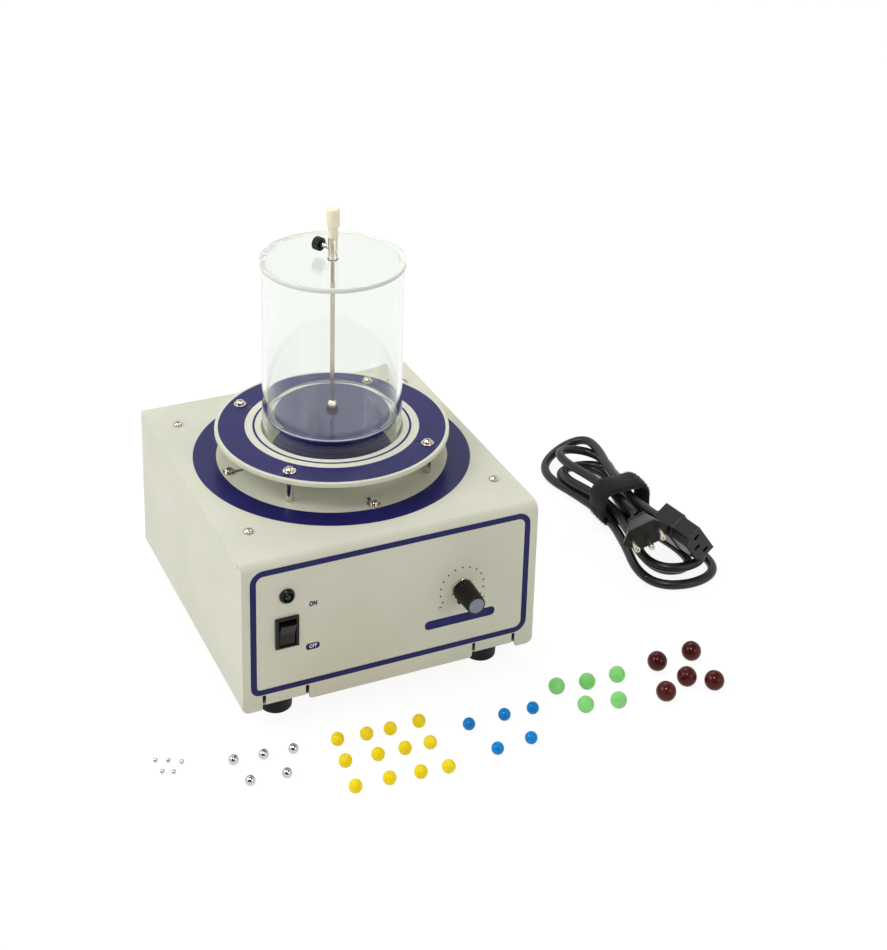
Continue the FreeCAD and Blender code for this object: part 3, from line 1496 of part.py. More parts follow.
ball_nodes = {
    "balls_small_steel": balls(small_steel_diameter, small_steel_places),
    "balls_steel": balls(steel_diameter, steel_places),
    "balls_yellow": balls(yellow_diameter, yellow_places),
    "balls_blue": balls(blue_diameter, blue_places),
    "balls_green": balls(green_diameter, green_places),
    "balls_brown": balls(brown_diameter, brown_places),
}
lead_nodes = {
    "power_cord": power_cord(),
    "cord_connector": cord_connector(),
    "cord_plug": cord_plug(),
    "plug_pins": plug_pins(),
    "cord_strap": cord_strap(),
}
for nodes in (cabinet_nodes, driver_nodes, tower_nodes, control_nodes, ball_nodes, lead_nodes):
    write(nodes)
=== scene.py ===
"""Kinetic theory apparatus: a vibrator cabinet with a clear tube on top, its balls and its mains lead.

Sizes are in millimetres; a piece's points become metres where its mesh is made.
"""
import json
import math

import bmesh
import bpy
import numpy as np
from mathutils import Euler, Matrix, Vector


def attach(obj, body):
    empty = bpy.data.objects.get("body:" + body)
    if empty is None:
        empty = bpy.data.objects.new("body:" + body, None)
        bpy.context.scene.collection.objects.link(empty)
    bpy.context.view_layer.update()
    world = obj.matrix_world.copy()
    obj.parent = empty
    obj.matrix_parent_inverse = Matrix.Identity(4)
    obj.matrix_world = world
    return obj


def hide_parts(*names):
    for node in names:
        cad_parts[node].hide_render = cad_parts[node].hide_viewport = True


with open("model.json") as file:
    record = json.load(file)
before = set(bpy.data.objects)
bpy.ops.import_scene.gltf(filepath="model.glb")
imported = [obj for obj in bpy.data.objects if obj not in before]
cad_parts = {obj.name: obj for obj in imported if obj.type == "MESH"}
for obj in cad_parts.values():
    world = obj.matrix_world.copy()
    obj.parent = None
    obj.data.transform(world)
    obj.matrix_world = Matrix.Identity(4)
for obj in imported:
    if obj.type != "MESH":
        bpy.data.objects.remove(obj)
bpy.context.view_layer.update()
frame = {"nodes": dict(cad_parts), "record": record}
nodes = frame["nodes"]
scene = bpy.context.scene
scene.view_settings.view_transform = "Standard"


# The cabinet's cover is one steel sheet, folded down at the front and at both sides, with
# small relief holes at the folds.  It is powder-coated off-white, with a fine orange peel.
MM = 0.001
front_face = -103.5
side_face = 97.5
cover_top = 115.5
sheet = 1.2
crease_angle = math.radians(32)    # sharper edges than this are rounded off and shade as edges
fold_round = 0.6              # outside rounding where the top meets the sides
edge_round = 0.2              # cut edges of the sheet


def linear(code):
    """A colour written as on screen, #rrggbb, in the linear values that shaders use."""
    parts = [int(code[k:k + 2], 16) / 255 for k in (1, 3, 5)]
    return [p / 12.92 if p <= 0.04045 else ((p + 0.055) / 1.055) ** 2.4 for p in parts] + [1.0]


def fill(node, sockets):
    """Gives a node's sockets their values, or links where the value is a field."""
    for name, value in sockets.items():
        if isinstance(value, Field):
            value.tree.links.new(value.socket, node.inputs[name])
        else:
            node.inputs[name].default_value = value


class Field:
    """A value that changes over a surface: a node's output that grows more nodes by plain sums."""

    def __init__(self, tree, socket):
        self.tree = tree
        self.socket = socket

    def node(self, kind, settings=None, sockets=None, out=0):
        """Adds any node: first its settings, then the values or links of its sockets."""
        made = self.tree.nodes.new(kind)
        for name, value in (settings or {}).items():
            setattr(made, name, value)
        fill(made, sockets or {})
        return Field(self.tree, made.outputs[out])

    def sum(self, operation, *values):
        return self.node("ShaderNodeMath", {"operation": operation}, dict(enumerate(values)))

    def __add__(self, other):
        return self.sum("ADD", self, other)

    def __sub__(self, other):
        return self.sum("SUBTRACT", self, other)

    def __rsub__(self, other):
        return self.sum("SUBTRACT", other, self)

    def __mul__(self, other):
        return self.sum("MULTIPLY", self, other)

    __radd__ = __add__
    __rmul__ = __mul__

    def part(self, axis):
        """One coordinate of a place, in metres."""
        return self.node("ShaderNodeSeparateXYZ", None, {"Vector": self}, "XYZ".index(axis))

    def grain(self, size, detail=1.0, stretch=(1, 1, 1)):
        """Soft noise around a half, whose lumps lie about size millimetres apart."""
        place = self
        if stretch != (1, 1, 1):
            place = self.node("ShaderNodeMapping", None, {"Vector": self, "Scale": stretch})
        return self.node("ShaderNodeTexNoise", None,
                         {"Vector": place, "Scale": 1 / (size * MM), "Detail": detail})

    def ridge(self, pitch):
        """A wave of a coordinate between -1 and 1, one crest every pitch millimetres."""
        return self.sum("SINE", self * (2 * math.pi / (pitch * MM)))

    def step(self, low, high):
        """0 below low, 1 above high, smooth between them."""
        return self.node("ShaderNodeMapRange", {"interpolation_type": "SMOOTHSTEP"},
                         {"Value": self, "From Min": low, "From Max": high})

    def tone(self, first, second):
        """A colour between two others: the first where this value is 0, the second where it is 1."""
        first, second = (linear(tone) if isinstance(tone, str) else tone for tone in (first, second))
        return self.node("ShaderNodeMix", {"data_type": "RGBA"}, {0: self, 6: first, 7: second}, 2)

    def relief(self, depth):
        """A normal from this value taken as a height of depth millimetres."""
        return self.node("ShaderNodeBump", None, {"Height": self, "Distance": depth * MM})

    def blend(self, first, second):
        """A shader between two others: the first where this value is 0, the second where it is 1."""
        return self.node("ShaderNodeMixShader", None, {0: self, 1: first, 2: second})


def surface(name, colour, roughness, look=None, **sockets):
    """A Principled material; look(place) gives the sockets that change over the surface."""
    made = bpy.data.materials.new(name)
    made.use_nodes = True
    tree = made.node_tree
    values = {"Base Color": linear(colour), "Roughness": roughness}
    values.update({key.replace("_", " "): value for key, value in sockets.items()})
    if look:
        values.update(look(Field(tree, tree.nodes.new("ShaderNodeTexCoord").outputs["Object"])))
    fill(tree.nodes["Principled BSDF"], values)
    return made


def uneven(tint=None, gloss=None, bump=None):
    """A look that drifts by noise; each tuple starts with the noise's lump size and detail.

    tint goes on with two colours and the noise's values where they are reached; gloss with the
    noise's share in the roughness and the rest of it; bump with the relief's depth.
    """
    def look(place):
        made = {}
        if tint:
            size, detail, first, second, *reach = tint
            drift = place.grain(size, detail)
            made["Base Color"] = (drift.step(*reach) if reach else drift).tone(first, second)
        if gloss:
            made["Roughness"] = place.grain(*gloss[:2]) * gloss[2] + gloss[3]
        if bump:
            made["Normal"] = place.grain(*bump[:2]).relief(bump[2])
        return made
    return look


def orange_peel(place):
    """Height of powder coat: lumps a millimetre apart with finer ones between them."""
    return place.grain(1.3) * 0.7 + place.grain(0.5) * 0.3


def peeled(size, first, second, share, base, depth):
    """A coat's look: its colour drifts over size millimetres, its gloss and relief are the peel's."""
    def look(place):
        peel = orange_peel(place)
        return {"Base Color": place.grain(size, 2.0).step(0.3, 0.7).tone(first, second),
                "Roughness": peel * share + base,
                "Normal": peel.relief(depth)}
    return look


powder_coat = surface("powder_coat", "#d6d5c3", 0.42, peeled(60, "#d2d2bf", "#d9d8c7", 0.16, 0.34, 0.11))


def placed(name, data):
    """A new object in the scene."""
    made = bpy.data.objects.new(name, data)
    scene.collection.objects.link(made)
    return made


def softened(node, finish, width, name, folds=None, segments=2):
    """A CAD solid's copy with its triangles merged into faces and its edges rounded off.

    Edges that folds(a, b) picks by their ends are rounded fully, the others by a third.
    """
    form = bmesh.new()
    form.from_mesh(nodes[node].data)
    bmesh.ops.remove_doubles(form, verts=form.verts, dist=2e-6)
    bmesh.ops.dissolve_limit(form, angle_limit=math.radians(0.8), verts=form.verts, edges=form.edges)
    form.edges.ensure_lookup_table()
    share = form.edges.layers.float.new("bevel_weight_edge")
    for edge in form.edges:
        if edge.is_manifold and edge.calc_face_angle() > crease_angle:
            a, b = (v.co / MM for v in edge.verts)
            edge[share] = 1.0 if folds is None or folds(a, b) else edge_round / fold_round
    mesh = bpy.data.meshes.new(name)
    form.to_mesh(mesh)
    form.free()
    mesh.shade_smooth()
    mesh.set_sharp_from_angle(angle=crease_angle)
    mesh.materials.clear()
    mesh.materials.append(finish)
    made = placed(name, mesh)
    bevel = made.modifiers.new("rounding", "BEVEL")
    bevel.width = width * MM
    bevel.segments = segments
    bevel.limit_method = "WEIGHT"
    bevel.use_clamp_overlap = False
    flat = made.modifiers.new("flat_faces", "WEIGHTED_NORMAL")
    flat.keep_sharp = True
    body = next(key for key, members in frame["record"]["behaviour"]["bodies"].items() if node in members)
    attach(made, body)
    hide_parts(node)
    return made


def is_side_fold(a, b):
    """The outer edges where the top turns into the sides."""
    at_side = abs(a.x - b.x) < 0.01 and abs(abs(a.x) - side_face) < 0.01
    return at_side and min(a.z, b.z) > cover_top - 0.01


softened("case_cover", powder_coat, fold_round, "cabinet_cover", is_side_fold)
softened("base_chassis", powder_coat, edge_round, "cabinet_base")


# The printed lines and bands are screen-printed in navy ink over the powder coat, so they
# keep its grain: a wide band on the top, a frame, a dial, ON and OFF on the front panel.
ink_lift = 0.07               # ink above the paint
ink_root = 0.06               # and into it, so that no gap shows
tower = (1.75, 3.75)
top_band = (75.0, 90.0)       # inner and outer radius
frame_half = 92.3             # the front frame's outer line, from the middle
frame_low, frame_high = 23.9, 110.7
frame_width = 3.85
frame_corner = 8.5
frame_tight = 6.0             # its lower left corner
bend_radius = 6.0             # the cover's bend from top to front
navy_ink = surface("navy_ink", "#19185c", 0.25, peeled(25, "#171658", "#1b1a60", 0.1, 0.2, 0.05),
                   Specular_IOR_Level=0.22)


def shell(grid, loops=(False, True)):
    """Quads between a grid's points; its rows or columns close on themselves where loops says so."""
    rows, columns = grid.shape[:2]
    i, j = np.meshgrid(np.arange(rows - (not loops[0])), np.arange(columns - (not loops[1])),
                       indexing="ij")
    below, beside = (i + 1) % rows, (j + 1) % columns
    faces = [i * columns + j, below * columns + j, below * columns + beside, i * columns + beside]
    return grid.reshape(-1, 3), np.stack(faces, -1).reshape(-1, 4).tolist()


def stood(shape, base, axis=(0, 0, 1)):
    """A shell turned from +Z onto an axis, then moved to a base point."""
    turn = Vector((0, 0, 1)).rotation_difference(Vector(axis)).to_matrix()
    return shape[0] @ np.array(turn).T + np.array(base, float), shape[1]


def full_turn(steps):
    return np.arange(steps) * 2 * np.pi / steps


def rings(rows, turn):
    """A ring of points for each radius and height, either of which may change with the turn."""
    return np.stack([np.stack([r * np.cos(turn), r * np.sin(turn), h + 0 * turn], -1) for r, h in rows])


def turned(profile, base=(*tower, 0), axis=(0, 0, 1), steps=96):
    """A profile carried round an axis: radius times the turn's cosine and sine, height along it."""
    hollow = profile[0][0] > 0 or profile[-1][0] > 0
    return stood(shell(rings(profile, full_turn(steps)), (hollow, True)), base, axis)


def piece(name, shells, finish, body, replaced=(), smooth=33):
    """A mesh from shells in millimetres: poles and seams are welded and faces turned outwards."""
    points, faces = [], []
    for shell_points, shell_faces in shells:
        start = len(points)
        points += (np.asarray(shell_points) * MM).tolist()
        faces += [[start + corner for corner in face] for face in shell_faces]
    mesh = bpy.data.meshes.new(name)
    mesh.from_pydata(points, [], faces)
    form = bmesh.new()
    form.from_mesh(mesh)
    bmesh.ops.remove_doubles(form, verts=form.verts, dist=1e-6)
    bmesh.ops.recalc_face_normals(form, faces=form.faces)
    form.to_mesh(mesh)
    form.free()
    mesh.shade_smooth()
    mesh.set_sharp_from_angle(angle=math.radians(smooth))
    mesh.materials.append(finish)
    made = placed(name, mesh)
    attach(made, body)
    if replaced:
        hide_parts(*replaced)
    return made


def round_piece(name, profile, finish, body, node=None, base=(*tower, 0), axis=(0, 0, 1), steps=96):
    """A piece of one turned profile; it stands for a CAD node where one is named."""
    piece(name, [turned(profile, base, axis, steps)], finish, body, [node] if node else ())


def bar(inner, outer, low, high):
    """The outline of a flat ring's section."""
    return [(inner, low), (outer, low), (outer, high), (inner, high)]


def rounded(corners, radius, steps=4, closed=True):
    """A line whose corners become arcs, with one more point beyond each arc, so that flats shade flat.

    A corner may give a radius of its own as a third number.
    """
    places = [np.array(corner[:2], float) for corner in corners]
    line = []
    for k, here in enumerate(places):
        size = corners[k][2] if len(corners[k]) > 2 else radius
        if size == 0 or (not closed and k in (0, len(places) - 1)):
            line.append(here)
            continue
        back, ahead = places[k - 1] - here, places[(k + 1) % len(places)] - here
        short = min(np.linalg.norm(back), np.linalg.norm(ahead))
        u, v = back / np.linalg.norm(back), ahead / np.linalg.norm(ahead)
        angle = math.acos(max(-1.0, min(1.0, float(u @ v))))
        if angle > math.pi - 0.02:
            line.append(here)
            continue
        reach = min(size / math.tan(angle / 2), 0.44 * short)
        size = reach * math.tan(angle / 2)
        middle = here + (u + v) / np.linalg.norm(u + v) * size / math.sin(angle / 2)
        spare = min(0.3 * size, 0.04 * short)
        start, end = here + u * reach - middle, here + v * reach - middle
        sweep = math.pi - angle
        line.append(here + u * (reach + spare))
        for share in np.linspace(0, 1, steps + 1):
            line.append(middle + (math.sin((1 - share) * sweep) * start + math.sin(share * sweep) * end)
                        / math.sin(sweep))
        line.append(here + v * (reach + spare))
    return np.array(line)


def on_panel(x, z, lift):
    """Points over the front panel, which bends back into the top above the bend's lower end."""
    rise = np.clip(z - (cover_top - bend_radius), 0, bend_radius) / bend_radius
    back = np.sqrt(1 - rise ** 2)
    return np.stack([x, front_face + bend_radius - (bend_radius + lift) * back, z + lift * rise], -1)


def printed(outer, inner):
    """Ink between two outlines of the same count: up its outer side, over, and down its inner side."""
    shares = [(0, -ink_root), (0, ink_lift), (0.25, ink_lift), (0.5, ink_lift), (0.75, ink_lift),
              (1, ink_lift), (1, -ink_root), (0.5, -ink_root)]
    grid = np.stack([on_panel(*(outer + (inner - outer) * share).T, lift) for share, lift in shares])
    return shell(grid, (True, True))


def box_outline(x, z, half_width, half_height, radius, steps=10, first=None):
    """A rounded rectangle, anticlockwise from its lower left corner, which may have its own radius."""
    corners = [(x - half_width, z - half_height, first or radius), (x + half_width, z - half_height),
               (x + half_width, z + half_height), (x - half_width, z + half_height)]
    return rounded(corners, radius, steps)


frame_z = (frame_low + frame_high) / 2
frame_tall = (frame_high - frame_low) / 2
frame_line = printed(box_outline(0, frame_z, frame_half, frame_tall, frame_corner, 10, frame_tight),
                     box_outline(0, frame_z, frame_half - frame_width, frame_tall - frame_width,
                                 frame_corner - frame_width, 10, frame_tight - frame_width))


def printed_ring(inner, outer, height):
    """Ink between two circles round the tower's axis."""
    return turned(bar(inner, outer, height - ink_root, height + ink_lift), steps=192)


dial = (46.3, 66.4)           # middle of the knob on the panel
dial_angles = np.linspace(209, -29, 13)
end_angles = (216, -34)       # its two end marks
dot_circle, end_circle = 14.9, 18.0
off_middle = (-52.7, 50.65)


def spot(x, z, half_width, half_height, radius):
    """A small filled shape of ink: its outline and the same outline drawn in to a point."""
    outer = box_outline(x, z, half_width, half_height, radius, 6)
    return printed(outer, np.full_like(outer, 0) + (x, z))


def on_circle(middle, radius, angle):
    turn = math.radians(angle)
    return middle[0] + radius * math.cos(turn), middle[1] + radius * math.sin(turn)


marks = [spot(*on_circle(dial, dot_circle, angle), 0.55, 0.55, 0.54) for angle in dial_angles]
marks += [spot(*on_circle(dial, end_circle, angle), 1.1, 0.3, 0.1) for angle in end_angles]
dial_bar = spot(45.5, 44.6, 24.0, 3.15, 3.1)
off_bar = spot(*off_middle, 4.45, 2.3, 2.25)

piece("printed_top_band", [printed_ring(*top_band, cover_top)], navy_ink, "cabinet")
piece("printed_frame", [frame_line], navy_ink, "cabinet")
piece("printed_dial", marks + [dial_bar, off_bar], navy_ink, "cabinet")


def baked(thing):
    """The mesh that an object's text or modifiers make."""
    bpy.context.view_layer.update()
    return bpy.data.meshes.new_from_object(thing.evaluated_get(bpy.context.evaluated_depsgraph_get()))


def lettering(name, text, height, weight, place, finish, lift):
    """A printed word in bold, narrow letters, centred, a hair's breadth over the panel."""
    curve = bpy.data.curves.new(name, "FONT")
    curve.body = text
    curve.align_x, curve.align_y = "CENTER", "CENTER"
    curve.size = height * MM * 1.37
    curve.extrude = lift * MM
    curve.offset = weight * height * MM
    curve.shear = 0.12
    curve.space_character = 1.08
    holder = placed(name + "_curve", curve)
    mesh = baked(holder)
    bpy.data.objects.remove(holder)
    upright = Euler((math.pi / 2, 0, 0)).to_matrix().to_4x4() @ Matrix.Diagonal((0.74, 1, 1, 1))
    mesh.transform(Matrix.Translation((place[0] * MM, front_face * MM, place[1] * MM)) @ upright)
    mesh.materials.clear()
    mesh.materials.append(finish)
    mesh.name = name
    made = placed(name, mesh)
    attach(made, "cabinet")


white_ink = surface("white_ink", "#f8f7f0", 0.4, uneven((25, 2.0, "#f2f1e9", "#fdfcf6")))
lettering("printed_on", "ON", 3.1, 0.08, (-52.6, 80.55), navy_ink, ink_lift)
lettering("printed_off", "OFF", 2.7, 0.02, off_middle, white_ink, 2 * ink_lift)


# Zinc-plated pan screws with a pressed cross hold the cover, the feet, the vibrator, the
# ring plate and the inlet; plated washers and hexagonal nuts go with them.
screw_head = 3.0              # radius
screw_shank = 1.5
head_height = 2.2
cross_half = 0.42
cross_reach = 2.0
cross_depth = 1.15
washer_radius, washer_thickness = 4.2, 0.8
nut_flats, nut_height = 5.5, 2.4
corner_aside, corner_ahead = 82.2, 71.2     # of the cover's screws, from the tower's axis
corner_places = [(tower[0] + sx * corner_aside, tower[1] + sy * corner_ahead)
                 for sx in (-1, 1) for sy in (-1, 1)]
base_under = 14.4
base_top = base_under + sheet
plated = surface("bright_plate", "#d8d1c4", 0.13,
                 uneven((3, 2.0, "#bfb8ab", "#e2dbce", 0.3, 0.75), (1.6, 3.0, 0.1, 0.05)), Metallic=1.0)


def pan_screw(base, axis, length):
    """A domed head whose height falls steeply inside a cross, over a plain shank.

    The head's height at a radius r is that of a shallow dome; the cross takes off its depth
    where either coordinate is small and the other within the cross's reach.
    """
    turn = full_turn(72)
    radii = np.concatenate([np.linspace(0, 2.35, 20), screw_head * np.sin(np.linspace(0.98, np.pi / 2, 6))])
    side = 0.45 + 0.38 * np.sqrt(np.clip(1 - (radii / screw_head) ** 2, 0, 1)) / 0.6
    dome = head_height * np.where(radii < 2.4, 1 - 0.03 * radii ** 2, side)
    x, y = radii[:, None] * np.cos(turn), radii[:, None] * np.sin(turn)
    thin, long = np.minimum(abs(x), abs(y)), np.maximum(abs(x), abs(y))
    inside = np.clip((cross_half - thin) / 0.14 + 0.5, 0, 1)
    inside = inside * np.clip((cross_reach - long) / 0.35 + 0.5, 0, 1)
    head = np.stack([x, y, dome[:, None] - cross_depth * inside * (3 - 2 * inside) * inside], -1)
    lower = rounded([(screw_head, 0.4), (screw_head, 0, 0.15), (screw_shank, 0, 0),
                     (screw_shank, -length, 0.3), (0, -length)], 0.15, 2, closed=False)
    return stood(shell(np.concatenate([head, rings(lower, turn)])), base, axis)


def washer(x, y, z):
    """A flat ring round a screw's shank, a rounded oblong turned round the screw's axis."""
    section = bar(screw_shank + 0.1, washer_radius, z, z + washer_thickness)
    return turned(rounded(section, 0.16, 2), (x, y, 0), steps=64)


def hexagon(turn, flats):
    """How far its side lies: half the flats over the cosine of the turn from a flat's middle."""
    return flats / 2 / np.cos((turn + np.pi / 6) % (np.pi / 3) - np.pi / 6)


def nut(base, flats=nut_flats, height=nut_height, bore=screw_shank, axis=(0, 0, 1)):
    """Rings from a round bore out to a hexagon, whose corners are blunted at both faces."""
    turn = full_turn(72)
    reach = hexagon(turn, flats)
    blunt = np.minimum(reach, flats / 2 * 1.06)
    rows = [(bore, 0), (blunt, 0), (reach, 0.25), (reach, height - 0.35), (blunt, height), (bore, height)]
    return stood(shell(rings(rows, turn), (True, True)), base, axis)


foot_aside, foot_inset, foot_back = 69.9, 18.8, 83.5
feet_places = [(sx * foot_aside, y) for y in (front_face + foot_inset, foot_back) for sx in (-1, 1)]
driver_circle, post_circle = 70.3, 66.0
driver_places = [on_circle(tower, driver_circle, 90 * k) for k in range(4)]
post_places = [on_circle(tower, post_circle, 45 + 90 * k) for k in range(4)]
flange_top = cover_top - sheet
flange_under = flange_top - 1.5
ring_top = cover_top + 20.6
up, down = (0, 0, 1), (0, 0, -1)

corner_set = [pan_screw((x, y, cover_top), up, 8) for x, y in corner_places]
corner_set += [pan_screw((x, y, base_under), down, 8) for x, y in corner_places]
piece("cover_screws", corner_set, plated, "cabinet", ["corner_screws"])

foot_recess = 4.0
foot_set = []
for index, (x, y) in enumerate(feet_places):
    seat = base_top + (sheet if index < 2 else 0)
    foot_set += [pan_screw((x, y, foot_recess), down, seat), nut((x, y, seat))]
piece("feet_screws", foot_set, plated, "cabinet", ["foot_screws"])

driver_set, driver_rings = [], []
for x, y in driver_places:
    seat = cover_top + washer_thickness
    driver_set.append(pan_screw((x, y, seat), up, seat - flange_under + nut_height + 1))
    driver_set.append(nut((x, y, flange_under - nut_height)))
    driver_rings.append(washer(x, y, cover_top))
piece("vibrator_screws", driver_set, plated, "cabinet", ["driver_screws"])
piece("vibrator_washers", driver_rings, plated, "cabinet", ["driver_washers"])

piece("plate_screws", [pan_screw((x, y, ring_top + washer_thickness), up, 10) for x, y in post_places],
      plated, "cabinet", ["ring_screws"])
piece("plate_washers", [washer(x, y, ring_top) for x, y in post_places],
      plated, "cabinet", ["ring_washers"])


# Four black rubber feet, moulded with a recess for their screws.
black_rubber = surface("black_rubber", "#121212", 0.55,
                       uneven((7, 4.0, "#0a0a0a", "#131211", 0.45, 0.8), bump=(0.5, 2.0, 0.05)),
                       Specular_IOR_Level=0.2)
foot_profile = rounded([(screw_shank, foot_recess), (4.5, foot_recess, 0.3), (4.5, 0, 0.4), (9.0, 0, 0.9),
                        (10, 1, 0.6), (10.5, base_under, 0.4), (screw_shank, base_under, 0)], 0, 3)
piece("feet", [turned(foot_profile, (x, y, 0), steps=72) for x, y in feet_places],
      black_rubber, "cabinet", ["rubber_feet"])


# Inside the cabinet: plated pillars, a laminated transformer with a taped winding, and a
# small board with its heat sink.  The cover hides them.
def plain(node, finish):
    """A CAD node that keeps its own shape and gets a finish."""
    mesh = nodes[node].data
    mesh.materials.clear()
    mesh.materials.append(finish)


def lamination_look(place):
    sheets = place.part("Y").ridge(0.5)
    return {"Base Color": sheets.step(-0.9, 0.2).tone("#2b2a2c", "#5d5b5a"),
            "Normal": sheets.relief(0.03)}


laminations = surface("varnished_laminations", "#4f4d4c", 0.4, lamination_look, Metallic=0.6)
plain("corner_pillars", plated)
plain("transformer_core", laminations)

wire_pitch = 0.8
tape_low, tape_high = 28.8 * MM, 47.1 * MM
tape_edge = 0.3 * MM


def winding_look(place):
    """Enamelled wire, one ridge a turn, with a yellow tape round its middle."""
    height = place.part("Z")
    wire = height.ridge(wire_pitch)
    tape = height.step(tape_low, tape_low + tape_edge) - height.step(tape_high, tape_high + tape_edge)
    enamel = place.grain(4, 2.0).tone("#7a3a16", "#96501f")
    return {"Base Color": tape.tone(enamel, "#c79a35"), "Normal": wire.relief(0.05)}


def at_height(outline, height):
    return np.column_stack([outline, np.full(len(outline), height)])


core_middle = (-40.0, 69.0)
winding_low, winding_high = 24.9, 51.3
winding_rows = []
for z in np.linspace(winding_low, winding_high, 133):
    sink = 0.3 - 0.25 * abs(math.sin(math.pi * (z - winding_low) / wire_pitch))
    winding_rows.append(at_height(box_outline(*core_middle, 17.7 - sink, 19.0 - sink, 4.0, 5), z))
inner_outline = box_outline(*core_middle, 9.4, 10.4, 0.8, 5)
winding_rows += [at_height(inner_outline, z) for z in (winding_high, winding_low)]
winding = surface("winding", "#8a4a1e", 0.35, winding_look)
piece("transformer_windings", [shell(np.stack(winding_rows), (True, True))],
      winding, "cabinet", ["transformer_winding"])

board_top = 25.3 * MM


def board_look(place):
    """Green mask over faint tracks, and dark parts above the board's face."""
    over = place.part("Z").step(board_top, board_top + 0.2 * MM)
    tracks = place.grain(4, 0.0, (1, 6, 1)).step(0.5, 0.53)
    mask = tracks.tone("#0f3d22", "#1c5a33")
    return {"Base Color": over.tone(mask, "#1b1b1f"), "Normal": tracks.relief(0.05)}


board = surface("green_board", "#14492a", 0.35, board_look)
anodised = surface("black_anodised", "#1d1d1f", 0.4, uneven(gloss=(2, 3.0, 0.2, 0.3)), Metallic=0.7)
plain("circuit_board", board)
plain("heat_sink", anodised)


# The vibrator under the top: a pressed basket, a ring magnet between steel plates, and a
# paper cone with its coil.  A rubber surround and a corrugated cloth spider centre them.
basket_low = flange_top - 34.0
former_in, former_out = 12.5, 13.2
former_low = basket_low - 6.5
former_top = former_low + 26.0
cone_top = former_top + 11.0

zinc = surface("zinc_plate", "#a6a6a3", 0.32,
               uneven((8, 1.0, "#9a9a97", "#b3b3b0", 0.35, 0.65), (5, 3.0, 0.25, 0.2)), Metallic=1.0)
black_paint = surface("black_paint", "#161617", 0.35,
                      lambda place: {"Normal": orange_peel(place).relief(0.06)})
ferrite = surface("ferrite", "#2b2b2d", 0.6, uneven(bump=(0.7, 4.0, 0.04)))
cone_paper = surface("cone_paper", "#202020", 0.8,
                     uneven((0.6, 5.0, "#161616", "#2c2b2a"), bump=(0.6, 5.0, 0.08)))
aluminium = surface("turned_aluminium", "#c4c5c8", 0.3, uneven(gloss=(1.5, 3.0, 0.2, 0.2)), Metallic=1.0)
plain("driver_basket", black_paint)
plain("driver_front_plate", zinc)
plain("driver_magnet", ferrite)
plain("driver_pole_piece", zinc)
plain("driver_cone", cone_paper)
plain("drive_spindle", aluminium)

surround_in, surround_out, surround_wall = 53.3, 59.0, 0.8
roll_middle, roll_radius = (surround_in + surround_out) / 2, (surround_out - surround_in) / 2
roll_turn = np.linspace(np.pi, 0, 17)
half_round = np.column_stack([np.cos(roll_turn), np.sin(roll_turn)])
roll_profile = np.concatenate([half_round * roll_radius, half_round[::-1] * (roll_radius - surround_wall)])
round_piece("rubber_surround", roll_profile + (roll_middle, cone_top),
            black_rubber, "cabinet", "driver_surround")


def cloth_look(place):
    weave = place.part("X").ridge(0.6) * place.part("Y").ridge(0.6)
    return {"Base Color": place.grain(6, 2.0).tone("#a8813c", "#c59b52"),
            "Normal": weave.relief(0.05)}


spider_cloth = surface("impregnated_cloth", "#b68c45", 0.75, cloth_look)
spider_in, spider_out, spider_wall = former_out + 0.3, 36.0, 0.8
share = np.linspace(0, 1, 73)
spider_line = np.column_stack([spider_in + (spider_out - spider_in) * share,
                               basket_low + 7.0 + 1.4 * np.sin(6 * np.pi * share)])
spider_foot = [(spider_out, basket_low + 1.5), (38.0, basket_low + 1.5), (38.0, basket_low + 7.8)]
spider_profile = np.concatenate([spider_line, spider_foot, (spider_line + (0, spider_wall))[::-1]])
round_piece("cloth_spider", spider_profile, spider_cloth, "cabinet", "driver_spider")

paper = former_out - 0.35             # outside of the bare former
coil_height = np.linspace(former_low + 0.5, former_low + 12.5, 145)
wire_round = np.abs(np.sin(np.pi * (coil_height - coil_height[0]) / 0.5))
coil_side = np.column_stack([former_out - 0.12 + 0.12 * wire_round, coil_height])
coil_end = former_low + 12.6
coil_profile = np.concatenate([[(former_in, former_low), (paper, former_low)], coil_side,
                               [(paper, coil_end), (paper, former_top), (former_in, former_top)]])


def two_toned(low, high, first, second):
    """A look of one colour below low and another above high."""
    return lambda place: {"Base Color": place.part("Z").step(low * MM, high * MM).tone(first, second)}


coil_wire = surface("coil_wire", "#a4602a", 0.3, two_toned(coil_end - 0.2, coil_end, "#9a5320", "#b9752f"))
round_piece("coil_on_former", coil_profile, coil_wire, "vibrator", "voice_coil", steps=72)


# The vibrating disc is navy plastic, moulded with a hub that sits on the spindle.  Balls
# bounce on it inside the tube.
disc_top = cover_top + 5.7
disc_under = disc_top - 2.5
disc_radius, hub_radius, hub_bore, hub_low = 39, 8, 4, disc_top - 7.5
disc_profile = rounded([(0, disc_top), (disc_radius, disc_top, 0.5), (disc_radius, disc_under, 0.5),
                        (hub_radius, disc_under, 0.3), (hub_radius, hub_low, 0.4), (hub_bore, hub_low, 0),
                        (hub_bore, disc_under - 0.01, 0), (0, disc_under - 0.01)], 0.3, 3, closed=False)


def from_axis(place):
    """Distance from the tower's axis, in metres."""
    x, y = place.part("X") - tower[0] * MM, place.part("Y") - tower[1] * MM
    return place.sum("SQRT", x * x + y * y)


def blue_plastic_look(place):
    scuffs = place.grain(5, 5.0, (1, 4, 1))
    turning = from_axis(place).ridge(2.6) * place.grain(9, 2.0)
    return {"Base Color": turning.step(-0.5, 0.6).tone("#18185a", "#1e1e64"),
            "Roughness": scuffs.step(0.4, 0.8) * 0.16 + 0.14}


blue_plastic = surface("navy_plastic", "#181842", 0.2, blue_plastic_look, Specular_IOR_Level=0.01)
round_piece("shaking_disc", disc_profile, blue_plastic, "vibrator", "vibrating_disc", steps=160)


